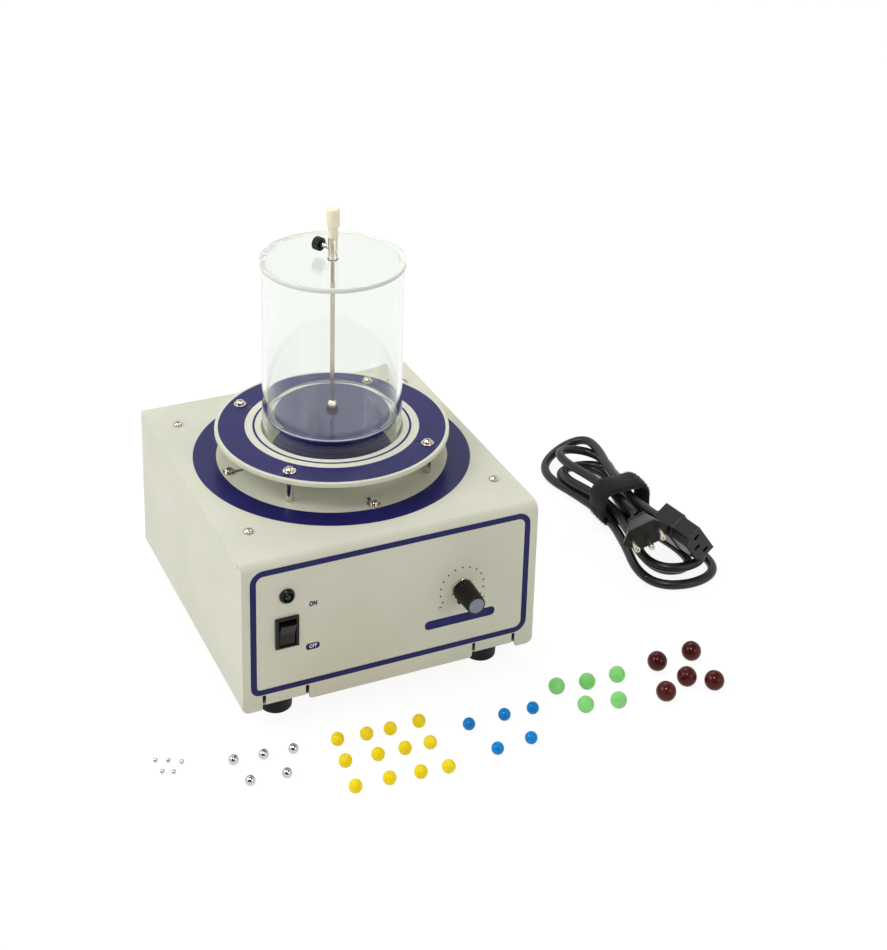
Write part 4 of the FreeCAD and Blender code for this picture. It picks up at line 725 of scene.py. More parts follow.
# The ring plate is powder-coated as the cover is, with a navy band and a thin line printed
# round its hole.  It stands on four round plated posts, which its slots let slide.
post_low, post_high = cover_top, cover_top + 17.6
plate_bands = ((49.9, 51.4), (56.4, 73.5))
slot_half_length, slot_half_width = 3.7, 1.7
softened("ring_plate", powder_coat, 0.45, "tower_plate", segments=3)


def pierced(target, cutters):
    """Takes prisms out of a piece: the ink leaves the plate's slots open."""
    tool = piece("cutters", cutters, navy_ink, "cabinet")
    cut = target.modifiers.new("slots", "BOOLEAN")
    cut.operation, cut.solver, cut.object = "DIFFERENCE", "EXACT", tool
    mesh = baked(target)
    target.modifiers.clear()
    mesh.name = target.name
    target.data = mesh
    bpy.data.objects.remove(tool)


def slot_prism(x, y, angle):
    """An upright prism with round ends through the plate's top, along a ray from the tower's axis."""
    outline = box_outline(0, 0, slot_half_length, slot_half_width, slot_half_width * 0.999, 8)
    turn = math.radians(angle)
    flat = outline @ np.array([[math.cos(turn), math.sin(turn)], [-math.sin(turn), math.cos(turn)]]) + (x, y)
    pole = flat * 0 + (x, y)
    low, high = ring_top - 1, ring_top + 1
    levels = ((pole, low), (flat, low), (flat, high), (pole, high))
    return shell(np.stack([at_height(outline, height) for outline, height in levels]))


plate_ink = piece("printed_plate_bands", [printed_ring(*band, ring_top) for band in plate_bands],
                  navy_ink, "cabinet")
pierced(plate_ink, [slot_prism(x, y, 45 + 90 * k) for k, (x, y) in enumerate(post_places)])

post_radius, stub_low = 2.5, post_low - 7.7
post_profile = rounded([(0, post_high), (post_radius, post_high, 0.2), (post_radius, post_low, 0.2),
                        (screw_shank, post_low, 0), (screw_shank, stub_low, 0.3), (0, stub_low)],
                       0.2, 3, closed=False)
posts = []
for x, y in post_places:
    posts += [turned(post_profile, (x, y, 0), steps=48), nut((x, y, flange_under - nut_height))]
piece("plate_posts", posts, plated, "cabinet", ["ring_posts"])


# The tube and its lid are clear acrylic, sawn, polished and glued with a pale ring of cement.
# The tube stands on the cabinet inside the ring plate, and lifts off with its lid and guide.
tube_low, tube_high = cover_top, cover_top + 134.0
tube_in, tube_out, lid_out = 42, 45, 46
lid_high = tube_high + 3.0
sleeve_high = lid_high + 14.5
sleeve_out = 3


def ray(tree, kind):
    """1 for rays of a kind such as Camera or Glossy, 0 for all others."""
    return Field(tree, None).node("ShaderNodeLightPath", None, None, f"Is {kind} Ray")


def clear_plastic(name, colour, roughness, look=None):
    """Glass of acrylic's index that lets lamplight through to what stands behind it."""
    made = surface(name, colour, roughness, look, Transmission_Weight=1.0, IOR=1.49)
    tree = made.node_tree
    glass = Field(tree, tree.nodes["Principled BSDF"].outputs[0])
    open_air = glass.node("ShaderNodeBsdfTransparent", None, {"Color": linear("#f2f4f2")})
    both = ray(tree, "Shadow").blend(glass, open_air)
    tree.links.new(both.socket, tree.nodes["Material Output"].inputs["Surface"])
    return made


clear_acrylic = clear_plastic("clear_acrylic", "#f8faf7", 0.01)
cement = surface("acrylic_cement", "#dadcd6", 0.5, uneven((4, 3.0, "#cfd2cb", "#e2e4de", 0.3, 0.7)),
                 Transmission_Weight=0.3)
tube_profile = rounded([(tube_in, tube_low + 0.03), (tube_out, tube_low + 0.03),
                        (tube_out, tube_high - 0.1, 0), (tube_in, tube_high - 0.1, 0)], 0.3, 4)
lid_profile = rounded([(lid_out, tube_high), (lid_out, lid_high, 0.12), (sleeve_out - 0.03, lid_high),
                       (sleeve_out - 0.03, tube_high)], 0.2, 4)
cement_profile = bar(tube_in + 0.05, tube_out - 0.05, tube_high - 0.08, tube_high - 0.02)
round_piece("clear_tube", tube_profile, clear_acrylic, "tube_unit", "tube", steps=192)
round_piece("clear_lid", lid_profile, clear_acrylic, "tube_unit", "tube_lid", steps=192)
round_piece("cement_ring", cement_profile, cement, "tube_unit", steps=192)

# The lid's rim is sawn, and greyer in its lower half.
sawn_rim = surface("sawn_rim", "#dfe1dc", 0.35,
                   two_toned(tube_high + 1.6, tube_high + 2.2, "#d9dcd7", "#f0f1ee"))
lid_rim_profile = bar(lid_out - 0.1, lid_out + 0.02, tube_high + 0.15, lid_high - 0.04)
round_piece("lid_rim", lid_rim_profile, sawn_rim, "tube_unit", steps=192)

# The rod's guide is a plated tube, tapped across for the thumb screw.
sleeve_profile = rounded(bar(1.55, sleeve_out, tube_high, sleeve_high), 0.2, 3)
# A thin dark ring in navy ink on the lid, round the guide's foot, is a painted shadow of the guide.
guide_shadow_profile = bar(sleeve_out + 0.05, sleeve_out + 0.5, lid_high - 0.05, lid_high + 0.05)
round_piece("rod_guide", sleeve_profile, plated, "tube_unit", "guide_sleeve", steps=64)
round_piece("guide_painted_shadow", guide_shadow_profile, navy_ink, "tube_unit", steps=64)


# The thumb screw clamps the rod: a threaded stud with a fluted black grip moulded on it.
thumb_turn = math.radians(119)
thumb_axis = np.array([math.cos(thumb_turn), math.sin(thumb_turn), 0])
thumb_height = sleeve_high - 7.4
stud_start, collar_start = 1.6, 8.1
collar_radius, collar_length = 2.6, 1.0
grip_radius, grip_length, grip_flutes = 4.4, 5.0, 14


def fluted(profile, flutes, depth, low, high, base, axis, steps):
    """A turned profile whose radius dips along evenly spaced flutes between two heights.

    A flute's dip falls with the square of the turn from its middle, down to nothing.
    """
    radius, height = np.array(profile, float).T
    turn = full_turn(steps)
    dip = np.clip(1 - (((turn * flutes / (2 * np.pi) + 0.5) % 1 - 0.5) / 0.27) ** 2, 0, 1)
    ends = np.clip(np.minimum(height - low, high - height) / 0.5 + 0.5, 0, 1)
    reach = radius[:, None] - depth * dip * ends[:, None] * (radius[:, None] > 0)
    return stood(shell(rings(zip(reach, height), turn)), base, axis)


black_plastic = surface("black_plastic", "#111112", 0.3,
                        uneven((6, 3.0, "#0d0d0e", "#151516", 0.4, 0.8), bump=(0.8, 3.0, 0.03)),
                        Specular_IOR_Level=0.25)
stud_height = np.arange(stud_start, collar_start + 3.5, 0.1)
stud_radius = 1.43 + 0.07 * np.cos(2 * np.pi * stud_height / 0.5)
stud_profile = [(0, stud_start)] + list(zip(stud_radius, stud_height)) + [(0, stud_height[-1])]
thumb_base = (*tower, thumb_height)
round_piece("thumb_stud", stud_profile, plated, "thumb_screw", "thumb_screw_stud",
            thumb_base, thumb_axis, 48)
grip_end = collar_length + grip_length
grip_profile = rounded([(0, 0), (collar_radius, 0, 0.3), (collar_radius, collar_length, 0),
                        (grip_radius, collar_length, 0.6), (grip_radius, collar_length + 1.2, 0),
                        (grip_radius, grip_end - 1.3, 0), (grip_radius, grip_end, 1.4), (0, grip_end)],
                       0.3, 4, closed=False)
piece("thumb_grip", [fluted(grip_profile, grip_flutes, 0.5, collar_length + 0.6, grip_end,
                            np.array(thumb_base) + thumb_axis * collar_start, thumb_axis, 168)],
      black_plastic, "thumb_screw", ["thumb_screw_grip"])


# The piston is a clear disc with a navy film under it, on a thin steel rod, held by a domed
# nut on a washer.  A cream rubber cap closes the rod's upper end.
piston_high = cover_top + 32.1
piston_low = piston_high - 2.5
piston_out, film_out = 40.5, 37.2
rod_radius = 1.5
rod_high = sleeve_high + 17.4


def drawn_steel_look(place):
    lines = place.grain(0.5, 2.0, (1, 1, 0.02))
    return {"Roughness": lines * 0.14 + 0.08,
            "Base Color": place.grain(9, 2.0).tone("#b3aba0", "#c8c1b6")}


def piston_look(place):
    """The rim, as it comes from the lathe, is satin; both faces are polished."""
    rim = from_axis(place).step((piston_out - 0.5) * MM, (piston_out - 0.1) * MM)
    return {"Roughness": rim * 0.15 + 0.01}


drawn_steel = surface("drawn_steel", "#b4afa6", 0.25, drawn_steel_look, Metallic=1.0)
piston_acrylic = clear_plastic("piston_acrylic", "#fbfcfb", 0.01, piston_look)
film = surface("navy_film", "#23245c", 0.3, uneven((12, 2.0, "#1f2057", "#262860", 0.3, 0.7)),
               Specular_IOR_Level=0.25)
piston_rim = surface("piston_rim", "#5a5f90", 0.3,       # the film's navy shows in its lower part
                     two_toned(piston_high - 1.5, piston_high - 1.1, "#0c1468", "#d0d3d6"))
piston_profile = rounded([(rod_radius - 0.03, piston_low, 0), (piston_out, piston_low),
                          (piston_out, piston_high), (rod_radius - 0.03, piston_high, 0)], 0.4, 2)
film_profile = bar(0, film_out, piston_low - 0.05, piston_low + 0.05)
piston_rim_profile = bar(piston_out - 0.04, piston_out + 0.02, piston_low + 0.3, piston_high - 0.4)
rod_profile = rounded([(0, piston_low), (rod_radius, piston_low, 0.1), (rod_radius, rod_high, 0.2),
                       (0, rod_high)], 0.1, 2, closed=False)
round_piece("piston_film", film_profile, film, "piston", steps=160)
round_piece("clear_piston", piston_profile, piston_acrylic, "piston", "piston_disc", steps=192)
round_piece("piston_edge", piston_rim_profile, piston_rim, "piston", steps=192)
round_piece("steel_rod", rod_profile, drawn_steel, "piston", "piston_rod", steps=40)


def nut_painted_light_look(place):
    """Bright plate on the dome; below it, on the flats and the washer, a brown-grey painted dark reflection,
    and a darker band of painted shade where the washer joins.
    """
    height = place.part("Z")
    # Painted dark reflection: brown-grey below the dome, bright plate on the dome.
    flats = height.step((piston_high + 2.7) * MM, (piston_high + 3.3) * MM).tone("#6f675c", "#e0d9cc")
    # Painted shade: a dark band in the crevice where the nut stands on the washer.
    painted_crevice_shade = height.step((piston_high + 0.55) * MM, (piston_high + 0.75) * MM)
    painted_crevice_shade = painted_crevice_shade - height.step((piston_high + 1.0) * MM, (piston_high + 1.4) * MM)
    return {"Base Color": painted_crevice_shade.tone(flats, "#2d2823"), "Roughness": place.grain(1.6, 3.0) * 0.08 + 0.04}


nut_plate = surface("nut_plate", "#b8b0a4", 0.1, nut_painted_light_look, Metallic=1.0)
rod_washer_high = 0.8
washer_profile = rounded(bar(rod_radius, 4.1, 0, rod_washer_high), 0.15, 2)
round_piece("rod_washer", washer_profile, nut_plate, "piston", "piston_washer",
            (*tower, piston_high), steps=64)

dome_flats, dome_foot, dome_radius, dome_rise = 5.888, 2.05, 3.1, 3.9
dome_turn = full_turn(96)
reach = hexagon(dome_turn, dome_flats)
nut_rows = [(rod_radius, 0), (reach * 0.96, 0), (reach, 0.2), (reach, 1.8), (reach * 0.96, 2.0)]
nut_rows += [(max(rod_radius, dome_radius * math.cos(a)), dome_foot + dome_rise * math.sin(a))
             for a in np.linspace(0, np.pi / 2, 8)]
nut_shell = shell(rings(nut_rows, dome_turn), (True, True))
piece("domed_nut", [stood(nut_shell, (*tower, piston_high + rod_washer_high))],
      nut_plate, "piston", ["piston_nut"])

cream_rubber = surface("cream_rubber", "#fdf4d8", 0.5,
                       uneven((2.5, 3.0, "#fdf2d2", "#fff9e3", 0.3, 0.75), bump=(0.9, 2.0, 0.04)),
                       Subsurface_Weight=0.15, Subsurface_Scale=0.002)
cap_profile = rounded([(1.5, 0, 0), (3.25, 0, 0.4), (3.25, 7.0, 0.5), (4.25, 7.7, 0.7), (4.25, 19.4, 1.1),
                       (0, 19.4, 0), (0, 17.4, 0), (1.5, 17.4, 0)], 0.3, 4, closed=False)
round_piece("cream_cap", cap_profile, cream_rubber, "piston", "rod_cap",
            (*tower, sleeve_high), steps=72)


# The panel's lamp is a dark green lens in a black holder that clips through the cover.
panel_out = (0, -1, 0)
lamp_place = (-69.2, front_face, 90.3)
green_lens = surface("green_lens", "#102c1a", 0.08, uneven((1.5, 2.0, "#0c2415", "#15371f")),
                     Specular_IOR_Level=0.3)
holder_profile = rounded([(2.7, -9), (3.9, -9), (3.9, 0, 0), (4.8, 0, 0.2), (4.8, 1.2, 0.4),
                          (3.9, 2.6, 0.4), (3.2, 2.6, 0.2), (2.7, 1.7, 0.2)], 0.2, 4)
lens_profile = [(0, -10.5), (2.9, -10.5), (2.9, -9.0), (2.5, -9.0), (2.5, 0.5)]
lens_profile += [(2.5 * math.cos(a), 0.7 + 2.5 * math.sin(a)) for a in np.linspace(0, np.pi / 2, 9)[:-1]]
lens_profile.append((0, 3.2))
round_piece("lamp_holder", holder_profile, black_plastic, "cabinet", "led_holder",
            lamp_place, panel_out, 72)
round_piece("lamp_lens", lens_profile, green_lens, "cabinet", "led", lamp_place, panel_out, 64)


# The mains switch is a black rocker in a snap-in housing, its lower end pressed in for off.
switch_middle = (-69.3, 65.1)
rocker_pivot = front_face + 3.0
rocker_half = 5.05            # half of its width
rocker_tall = 7.85            # from the pivot to each end
rocker_turn = math.radians(12)

panel_plastic_look = uneven((5, 3.0, "#0f0e0f", "#171617", 0.35, 0.8), (0.35, 1.0, 0.12, 0.3),
                            (0.35, 1.0, 0.025))
switch_plastic = surface("switch_plastic", "#131213", 0.36, panel_plastic_look, Specular_IOR_Level=0.28)
softened("switch_housing", switch_plastic, 0.3, "switch_body", segments=3)


def drawn_in(outline, distance):
    """A closed outline moved inwards, across the line through each point's neighbours."""
    along = np.roll(outline, -1, 0) - np.roll(outline, 1, 0)
    along /= np.linalg.norm(along, axis=1, keepdims=True)
    return outline + distance * np.column_stack([-along[:, 1], along[:, 0]])


def slab(outline, low, high, edge, steps=3):
    """A plate between two heights, its outline drawn in along a quarter circle at both faces."""
    turn = np.linspace(0, np.pi / 2, steps + 1)
    rows = [(edge + 0.15, low)] + [(edge * (1 - math.sin(a)), low + edge * (1 - math.cos(a))) for a in turn]
    rows += [(inset, low + high - height) for inset, height in rows[::-1]]
    grid = [at_height(drawn_in(outline, inset), height) for inset, height in rows]
    pole = outline * 0 + outline.mean(0)
    return shell(np.stack([at_height(pole, low), *grid, at_height(pole, high)]))


def as_rocker(points):
    """A slab stood across the panel, its outline upright and its height along +X, then tilted."""
    up_panel, outwards, across = points.T
    y, z = -outwards, up_panel
    return np.stack([switch_middle[0] + across,
                     rocker_pivot + y * math.cos(rocker_turn) - z * math.sin(rocker_turn),
                     switch_middle[1] + y * math.sin(rocker_turn) + z * math.cos(rocker_turn)], -1)


foot_half, foot_depth = 6.35, -3.0
lip, lip_out, dish_out, dish_low = rocker_tall - 1.2, 5.95, 5.6, 4.5
dish = np.linspace(lip, -lip, 17)
upper_corners = [(-foot_half, foot_depth), (foot_half, foot_depth), (rocker_tall, lip_out), (lip, dish_out)]
lower_corners = [(-lip, dish_out), (-rocker_tall, lip_out), (-foot_half, foot_depth)]
rocker_line = np.concatenate([rounded(upper_corners, 0.6, 4, closed=False),
                              np.column_stack([dish, dish_low + 1.1 * abs(dish) / lip])[1:-1],
                              rounded(lower_corners, 0.6, 4, closed=False)[:-1]])
rocker_points, rocker_faces = slab(rocker_line, -rocker_half, rocker_half, 0.5)
piece("rocker", [(as_rocker(rocker_points), rocker_faces)],
      switch_plastic, "power_rocker", ["switch_rocker"])


# The amplitude knob is fluted black plastic with a pointer and a grey-blue cap, pushed on
# the potentiometer's shaft; a plated nut holds the control to the panel.
knob_gap, knob_length = 2.4, 18.6
pointer_angle = 240.0
knob_base = (dial[0], front_face - knob_gap, dial[1])
piece("control_nut", [nut((dial[0], front_face, dial[1]), 14.0, 2.0, 4.2, panel_out)],
      plated, "cabinet", ["pot_nut"])
plain("potentiometer", zinc)
plain("pot_shaft", aluminium)

knob_plastic = surface("knob_plastic", "#131213", 0.36, panel_plastic_look, Specular_IOR_Level=0.22)
knob_rows = np.concatenate([
    [(0, 12.6), (3.0, 12.6), (3.0, 3.2), (4.7, 3.2), (4.7, 0.0), (6.7, 0.0), (7.0, 0.3)],
    np.column_stack([np.linspace(7.0, 6.03, 12), np.linspace(0.5, knob_length - 0.55, 12)]),
    [(5.9, 18.3), (5.65, 18.55), (5.22, 18.6), (5.2, 18.5), (5.2, 17.6), (0, 17.6)]])
knob_shell = fluted(knob_rows, 20, 0.42, 3.4, knob_length + 0.2, knob_base, panel_out, 240)
pointer_line = rounded([(6.4, -1.2), (8.8, -0.15, 0.1), (8.8, 0.15, 0.1), (6.4, 1.2)], 0.1, 2)
pointer_points, pointer_faces = slab(pointer_line, 0.0, 3.2, 0.15, 2)
pointer_points = pointer_points @ np.array(Matrix.Rotation(math.radians(pointer_angle), 3, "Z")).T
piece("amplitude_grip", [knob_shell, stood((pointer_points, pointer_faces), knob_base, panel_out)],
      knob_plastic, "amplitude_knob", ["knob"])

cap_plastic = surface("cap_plastic", "#7c8593", 0.38,
                      uneven((3, 2.0, "#737c8a", "#858e9c"), (0.4, 2.0, 0.15, 0.3)))
knob_cap_profile = rounded([(0, 0), (5.15, 0, 0.1), (5.15, 0.95, 0.25), (0, 1.0)], 0.2, 3, closed=False)
knob_cap_place = (dial[0], knob_base[1] - knob_length + 1.0, dial[1])
round_piece("amplitude_cap", knob_cap_profile, cap_plastic, "amplitude_knob", "knob_cap",
            knob_cap_place, panel_out, 72)


# The mains inlet at the back is black moulded plastic with three plated blades and a fuse
# drawer above them; two screws with the panel behind hold it.
rear_face = 102.7
inlet_middle = (45.0, 48.0)
inlet_fixings = [pan_screw((inlet_middle[0] + s * 20.0, rear_face + 3.0, inlet_middle[1]), (0, 1, 0), 8.2)
                 for s in (-1, 1)]
softened("inlet_housing", black_plastic, 0.35, "mains_inlet")
softened("fuse_drawer", switch_plastic, 0.2, "fuse_tray")
softened("inlet_pins", plated, 0.3, "inlet_blades")
piece("inlet_fixings", inlet_fixings, plated, "cabinet", ["inlet_screws"])


# Thirty-seven balls in six sorts lie on the table: two sizes of steel, and moulded ones in
# yellow, blue, green and dark red-brown.
def ball_set(name, node, diameter, places, finish, body):
    """Each ball's profile is a half circle: its radius times sine and one minus cosine of an angle."""
    angle = np.linspace(0, np.pi, 33)
    radius = diameter / 2
    profile = np.column_stack([radius * np.sin(angle), radius * (1 - np.cos(angle))])
    profile[[0, -1], 0] = 0
    balls = [turned(profile, (x, y, 0), steps=56) for x, y in places]
    piece(name, balls, finish, body, [node], smooth=60)


def moulded(name, first, second, roughness):
    """Glossy moulded plastic, its colour drifting slightly from ball to ball."""
    look = uneven((14, 2.0, first, second, 0.35, 0.65), (1.2, 3.0, 0.1, roughness - 0.05))
    return surface(name, first, roughness, look, Coat_Weight=0.15, Coat_Roughness=0.04,
                   Specular_IOR_Level=0.12, Subsurface_Weight=0.5, Subsurface_Scale=0.003)


polished_steel = surface("polished_steel", "#c9c9ca", 0.06, uneven(gloss=(1, 3.0, 0.05, 0.04)), Metallic=1.0)
ball_set("small_balls", "balls_small_steel", 3.0,
         ((-154, -109), (-147, -112), (-140, -116), (-153, -120), (-147, -123)),
         polished_steel, "small_steel_balls")
ball_set("steel_set", "balls_steel", 6.3, ((-112, -128), (-94, -130), (-76, -132), (-109, -149), (-87, -151)),
         polished_steel, "steel_balls")
sorts = {
    "yellow": (8.3, "#ffe00e", "#ffe824", 0.3,
               ((-49, -135), (-31, -137), (-16, -138), (3, -138), (-52, -155), (-32, -157), (-15, -158),
                (1, -159), (-55, -178), (-34, -179), (-15, -181), (2, -183))),
    "blue": (7.8, "#0580cc", "#0890de", 0.22, ((30, -152), (54, -152), (73, -153), (36, -179), (59, -178))),
    "green": (10.5, "#86d97a", "#97e58c", 0.3,
              ((96, -141), (116, -144), (137, -145), (104, -164), (125, -168))),
    "brown": (12.7, "#4a1412", "#5a1a17", 0.2,
              ((167, -144), (193, -143), (176, -165), (190, -175), (156, -173)))}
for sort, (diameter, first, second, roughness, places) in sorts.items():
    ball_set(sort + "_set", "balls_" + sort, diameter, places,
             moulded(sort + "_plastic", first, second, roughness), sort + "_balls")


# The mains lead: a black round cord wound into a hank that a strap ties at its waist.  One
# end is the connector for the inlet, the other a plug with three round pins.
cord_diameter = 6.5
hank = (235.3, 19.6)
far_reaches = (97.0, 79.0, 71.0, 84.5)
near_reaches = (94.0, 76.0, 85.0)
hank_columns = (0.6, 1.6, 1.6, 0.55, 0.55, 1.1, 1.1, 0.6)
hank_layers = (2, 0, 0, 0, 0, 1, 1, 2)
column_width, layer_rise = 7.1, 7.8
points_in_half = 8


def end_axes(azimuth, tilt, roll):
    """Turn of a cord end's body: rolled about its axis, tipped from upright to lying, then headed."""
    steps = ((azimuth, "Z"), (90 - tilt, "X"), (roll, "Z"))
    turns = [Matrix.Rotation(math.radians(angle), 3, axis) for angle, axis in steps]
    return np.array(turns[0] @ turns[1] @ turns[2])


connector_face, connector_axes = np.array([245.7, -66.0, 27.2]), end_axes(6.0, 3.0, 125.0)
plug_face, plug_axes = np.array([212.8, -49.2, 33.5]), end_axes(-22.0, 14.0, 26.0)
connector_depth, plug_depth = 48.0, 40.0


def hank_point(turn):
    """The cord's middle at a count of half turns.

    It swings out from the waist and back by the turn's cosine, a layer up where it crosses.
    """
    half = min(int(turn), len(hank_columns) - 2)
    part = turn - half
    sway = (1 - math.cos(math.pi * part)) / 2
    climb = min(max((part - 0.33) / 0.34, 0), 1)
    climb = (1 - math.cos(math.pi * climb)) / 2
    column = column_width * (hank_columns[half] + (hank_columns[half + 1] - hank_columns[half]) * sway)
    layer = hank_layers[half] + (hank_layers[half + 1] - hank_layers[half]) * climb
    angle = math.pi * (turn - 0.5)
    out, across = math.cos(angle), -math.sin(angle)
    reach = (near_reaches if half % 2 else far_reaches)[half // 2]
    return np.array([hank[0] + across * (column + (22 + 3 * column) * out ** 2) + 3 * out ** 2,
                     hank[1] + reach * out,
                     cord_diameter / 2 + layer_rise * layer + 3.0 * across ** 4])


def tail_corners(start, leaving, end, arriving):
    """Two corners between a cord end and the hank, as far from each as makes both bends equal."""
    span, both = end - start, leaving + arriving
    spread = 2 * (1 - leaving @ arriving)
    reach = (math.sqrt((span @ both) ** 2 + spread * (span @ span)) - span @ both) / spread
    return [start + leaving * reach, end - arriving * reach]


connector_out, plug_out = -connector_axes[:, 2], -plug_axes[:, 2]
connector_exit = connector_face + connector_out * connector_depth
plug_exit = plug_face + plug_out * plug_depth
first_free = connector_exit + connector_out * cord_diameter
last_free = plug_exit + plug_out * cord_diameter
last_turn = len(hank_columns) - 1
along_hank = np.array([0.0, 1.0, 0.0])
route = [connector_exit, first_free, *tail_corners(first_free, connector_out, hank_point(0), along_hank)]
route += [hank_point(k / points_in_half) for k in range(last_turn * points_in_half + 1)]
route += [*tail_corners(hank_point(last_turn), -along_hank, last_free, -plug_out), last_free, plug_exit]

cord_look = uneven((9, 4.0, "#141413", "#1f1e1d", 0.35, 0.8), (1.5, 3.0, 0.12, 0.3), (0.6, 2.0, 0.03))
cord_jacket = surface("cord_jacket", "#1a1a19", 0.36, cord_look, Specular_IOR_Level=0.4)
line = bpy.data.curves.new("mains_cord", "CURVE")
line.dimensions = "3D"
line.resolution_u = 10
line.bevel_depth = cord_diameter / 2 * MM
line.bevel_resolution = 7
line.use_fill_caps = True
spline = line.splines.new("NURBS")
spline.points.add(len(route) - 1)
for point, place in zip(spline.points, route):
    point.co = (*(place * MM), 1.0)
spline.order_u = 3
spline.use_endpoint_u = True
line.materials.append(cord_jacket)
mains_cord = placed("mains_cord", line)
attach(mains_cord, "cabinet")
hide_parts("power_cord")


# Both ends are moulded on in black PVC with tapered strain reliefs behind them.
def outer_edges(face, axes, half_width, half_height):
    """Picks edges on a body's outside, by both ends' distance from its axis."""
    def picks(a, b):
        ends = [(np.array(p) - face) @ axes for p in (a, b)]
        return all(abs(x) > half_width or abs(y) > half_height for x, y, z in ends)
    return picks


connector_body = softened("cord_connector", cord_jacket, 0.9, "connector_body",
                          outer_edges(connector_face, connector_axes, 8.3, 4.3), 3)
plug_body = softened("cord_plug", cord_jacket, 0.8, "plug_body",
                     outer_edges(plug_face, plug_axes, 12.0, 5.0), 3)
pin_profile = rounded([(0, -8), (2, -8, 0.1), (2, 19, 0.9), (0.75, 19, 0.1), (0.6, 18.0, 0), (0, 18.0)],
                      0.1, 4, closed=False)
pins = []
for x, y in ((-9.5, 0), (9.5, 0), (0, -3.0)):
    pin_points, pin_faces = turned(pin_profile, (x, y, 0), steps=48)
    pins.append((pin_points @ plug_axes.T + plug_face, pin_faces))
pin_plate = surface("nickel_on_brass", "#d2ccbb", 0.24,
                    uneven((3, 3.0, "#c9c2b0", "#ddd7c8"), (0.8, 3.0, 0.15, 0.16)), Metallic=1.0)
plug_contacts = piece("plug_contacts", pins, pin_plate, "cabinet", ["plug_pins"])


# The strap is black hook-and-loop tape, wrapped once round the waist and pressed onto
# itself.  Its loops stand off as fuzz.
strap_middle, strap_half = 23.6, 9.7    # along the hank
around_count, across_count, fuzz_count = 288, 25, 6500
strap_cloth = surface("hook_and_loop", "#131314", 0.95,
                      uneven((0.7, 4.0, "#080808", "#19191b", 0.3, 0.8), bump=(0.7, 4.0, 0.35)),
                      Sheen_Weight=0.2, Sheen_Roughness=0.4)


def strap_ring(grow, bulge=0.0):
    """The strap's outline round the waist, grown outwards and, above, by a bulge."""
    low, high = 2.4 - min(grow, 2.3), 27.7 + grow + bulge
    return box_outline(hank[0], (low + high) / 2, 17.21 + grow, (high - low) / 2, 7.0 + grow + bulge, 12)


rng = np.random.default_rng(7)
fine_outer = strap_ring(3.6, 2.0)
around = np.linspace(0, 1, around_count + 1)[:-1] * len(fine_outer)
wrap = np.arange(len(fine_outer) + 1)


def resampled(outline):
    """An outline with as many points as the strap has round the waist."""
    closed = np.vstack([outline, outline[:1]])
    return np.column_stack([np.interp(around, wrap, closed[:, k]) for k in (0, 1)])


outer_ring, inner_ring = resampled(fine_outer), resampled(strap_ring(0.1))
turn = around / len(fine_outer) * 2 * np.pi
across = np.linspace(-1, 1, across_count)
rows = []
for v, outside in [(v, True) for v in across] + [(v, False) for v in across[::-1]]:
    soft = 0.35 + 0.65 * math.sqrt(1 - (0.95 * v) ** 2)
    wave = 0.5 * np.sin(3 * turn + 1.3 * v) + 0.3 * np.sin(7 * turn - 2 * v)
    share = 0.12 + 0.8 * soft + 0.05 * wave if outside else 0.08 + 0.1 * (1 - soft)
    flat = inner_ring + (outer_ring - inner_ring) * np.reshape(share, (-1, 1))
    y = strap_middle + v * strap_half + 0.35 * np.sin(2 * turn + 0.5)
    rows.append(np.stack([flat[:, 0], y, flat[:, 1]], -1))
strap_grid = np.stack(rows)
strap_grid[:across_count] += rng.normal(0, 0.09, strap_grid[:across_count].shape)
strap_shell = shell(strap_grid, (True, True))

# Each loop of the fuzz is a thin triangle on the strap's outside that leans outwards.
skin = strap_grid[:across_count].reshape(-1, 3)
loops_at = skin[rng.integers(0, len(skin), fuzz_count)] + rng.normal(0, 0.35, (fuzz_count, 3))
lean = rng.normal(0, 1, (fuzz_count, 3))
lean /= np.linalg.norm(lean, axis=1, keepdims=True)
side = np.cross(lean, rng.normal(0, 1, (fuzz_count, 3)))
side *= 0.07 / np.linalg.norm(side, axis=1, keepdims=True)
length = rng.uniform(0.5, 1.6, (fuzz_count, 1))
middle = np.array([hank[0], 0, 15.0])
lean *= np.sign(((loops_at - middle) * lean)[:, [0, 2]].sum(1, keepdims=True))
fuzz = np.stack([loops_at - side, loops_at + side, loops_at + lean * length], 1).reshape(-1, 3)
fuzz[:, 2] = np.maximum(fuzz[:, 2], 0.05)
fuzz_faces = np.arange(len(fuzz)).reshape(-1, 3).tolist()
strap = piece("tie_strap", [strap_shell, (fuzz, fuzz_faces)], strap_cloth, "cabinet",
              ["cord_strap"], 180)
tuple(connector_exit * MM)


# The table, the light and the camera: a pale floor that keeps the object's shadow, soft
# boxes to the left, above and in front, and the view that the photograph was taken from.
table_size = 30.0             # metres
corners = [(x * table_size, y * table_size, 0) for x, y in ((-1, -1), (1, -1), (1, 1), (-1, 1))]
table_top = bpy.data.materials.new("table_top")
table_top.use_nodes = True
tree = table_top.node_tree
tree.nodes.clear()
seen = ray(tree, "Camera") + ray(tree, "Glossy") + ray(tree, "Transmission")
lit = seen.node("ShaderNodeBsdfDiffuse", None, {"Color": linear("#e6e6e4")})
shaded = seen.node("ShaderNodeBsdfDiffuse", None, {"Color": linear("#6c6c6a")})
glow = seen.node("ShaderNodeEmission", None, {"Color": (1, 1, 1, 1), "Strength": 0.9})
shown = seen.node("ShaderNodeAddShader", None, {0: shaded, 1: glow})
end = tree.nodes.new("ShaderNodeOutputMaterial")
tree.links.new(seen.blend(lit, shown).socket, end.inputs["Surface"])
mesh = bpy.data.meshes.new("table_top")
mesh.from_pydata(corners, [], [(0, 1, 2, 3)])
mesh.materials.append(table_top)
placed("table_top", mesh)

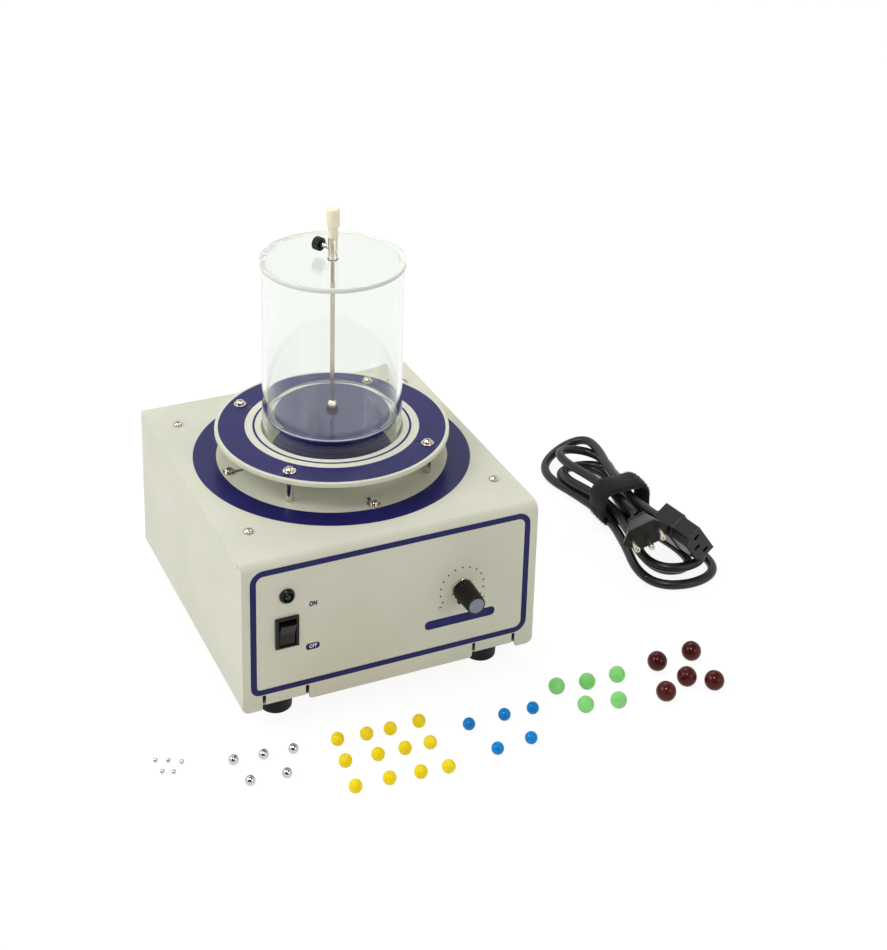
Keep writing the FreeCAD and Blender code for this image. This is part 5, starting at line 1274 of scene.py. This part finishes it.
# The world is white to the camera, even grey to matt things, and to polished ones a pale
# room with a dark end and a dark ceiling.
dark_side = (-0.36, -0.80, 0.48)
world = bpy.data.worlds.new("studio")
scene.world = world
world.use_nodes = True
tree = world.node_tree
tree.nodes.clear()
look_up = Field(tree, tree.nodes.new("ShaderNodeTexCoord").outputs["Generated"])
darkness = look_up.node("ShaderNodeVectorMath", {"operation": "DOT_PRODUCT"}, {0: look_up, 1: dark_side}, 1)
ceiling = look_up.part("Z").step(0.56, 0.8) * 0.75
dark = darkness.sum("MAXIMUM", darkness.step(0.62, 0.86), ceiling)
room = dark.tone((0.9, 0.9, 0.9, 1), (0.07, 0.065, 0.06, 1))
ambient = room.node("ShaderNodeBackground", None, {"Color": (0.98, 0.99, 1.0, 1), "Strength": 0.5})
white = room.node("ShaderNodeBackground", None, {"Color": (1, 1, 1, 1), "Strength": 1.0})
mirrored = room.node("ShaderNodeBackground", None, {"Color": room, "Strength": 1.0})
indirect = ray(tree, "Glossy").blend(ambient, mirrored)
both = (ray(tree, "Camera") + ray(tree, "Transmission")).blend(indirect, white)
end = tree.nodes.new("ShaderNodeOutputWorld")
tree.links.new(both.socket, end.inputs["Surface"])


def soft_box(name, place, aim, size, power, tint=(1, 1, 1), spark=False):
    """A rectangular lamp; a spark shows in glossy things alone, as a highlight."""
    lamp = bpy.data.lights.new(name, "AREA")
    lamp.shape = "RECTANGLE"
    lamp.size, lamp.size_y = size
    lamp.energy = power
    lamp.color = tint
    made = placed(name, lamp)
    made.location = place
    made.rotation_euler = (Vector(aim) - Vector(place)).to_track_quat("-Z", "Y").to_euler()
    made.visible_diffuse = not spark


soft_box("key_box", (-1.3, 0.2, 1.3), (0, 0, 0.08), (0.9, 0.9), 14)
soft_box("top_box", (0.3, 0.9, 1.6), (0, 0, 0.1), (1.0, 0.8), 8)
soft_box("front_box", (0.7, -1.6, 0.9), (0, 0, 0.08), (0.9, 0.6), 5.6, (1.0, 0.9, 0.78))
soft_box("spark_box", (-0.35, -0.75, 1.5), (0, -0.1, 0.05), (0.35, 0.35), 12, spark=True)

# The camera's turn, place, distance and focal length come from a fit of the photograph,
# which is 887 by 950 pixels.
view_azimuth, view_elevation, view_roll = (math.radians(a) for a in (-24.404, 20.928, 1.244))
view_distance, view_focal = 1202.79, 1845.64
view_aside = (48.81, 200.26)
view_centre = (412.9, 170.1)
image_width, image_height = 887, 950
film_side = 36.0              # of the camera's sensor
backwards = np.array([math.sin(view_azimuth) * math.cos(view_elevation),
                      -math.cos(view_azimuth) * math.cos(view_elevation), math.sin(view_elevation)])
level = np.array([math.cos(view_azimuth), math.sin(view_azimuth), 0])
upright = np.cross(backwards, level)
right = math.cos(view_roll) * level + math.sin(view_roll) * upright
above = -math.sin(view_roll) * level + math.cos(view_roll) * upright
eye = backwards * view_distance + level * view_aside[0] + upright * view_aside[1] + (0, 0, 100)
view_turn = Matrix(np.column_stack([right, above, backwards]))
camera = placed("camera", bpy.data.cameras.new("camera"))
camera.matrix_world = Matrix.Translation(eye * MM) @ view_turn.to_4x4()
camera.data.sensor_width = film_side
camera.data.lens = view_focal / image_height * film_side
camera.data.shift_x = (image_width / 2 - view_centre[0]) / image_height
camera.data.shift_y = (view_centre[1] - image_height / 2) / image_height
camera.data.clip_start, camera.data.clip_end = 0.05, 100
scene.camera = camera
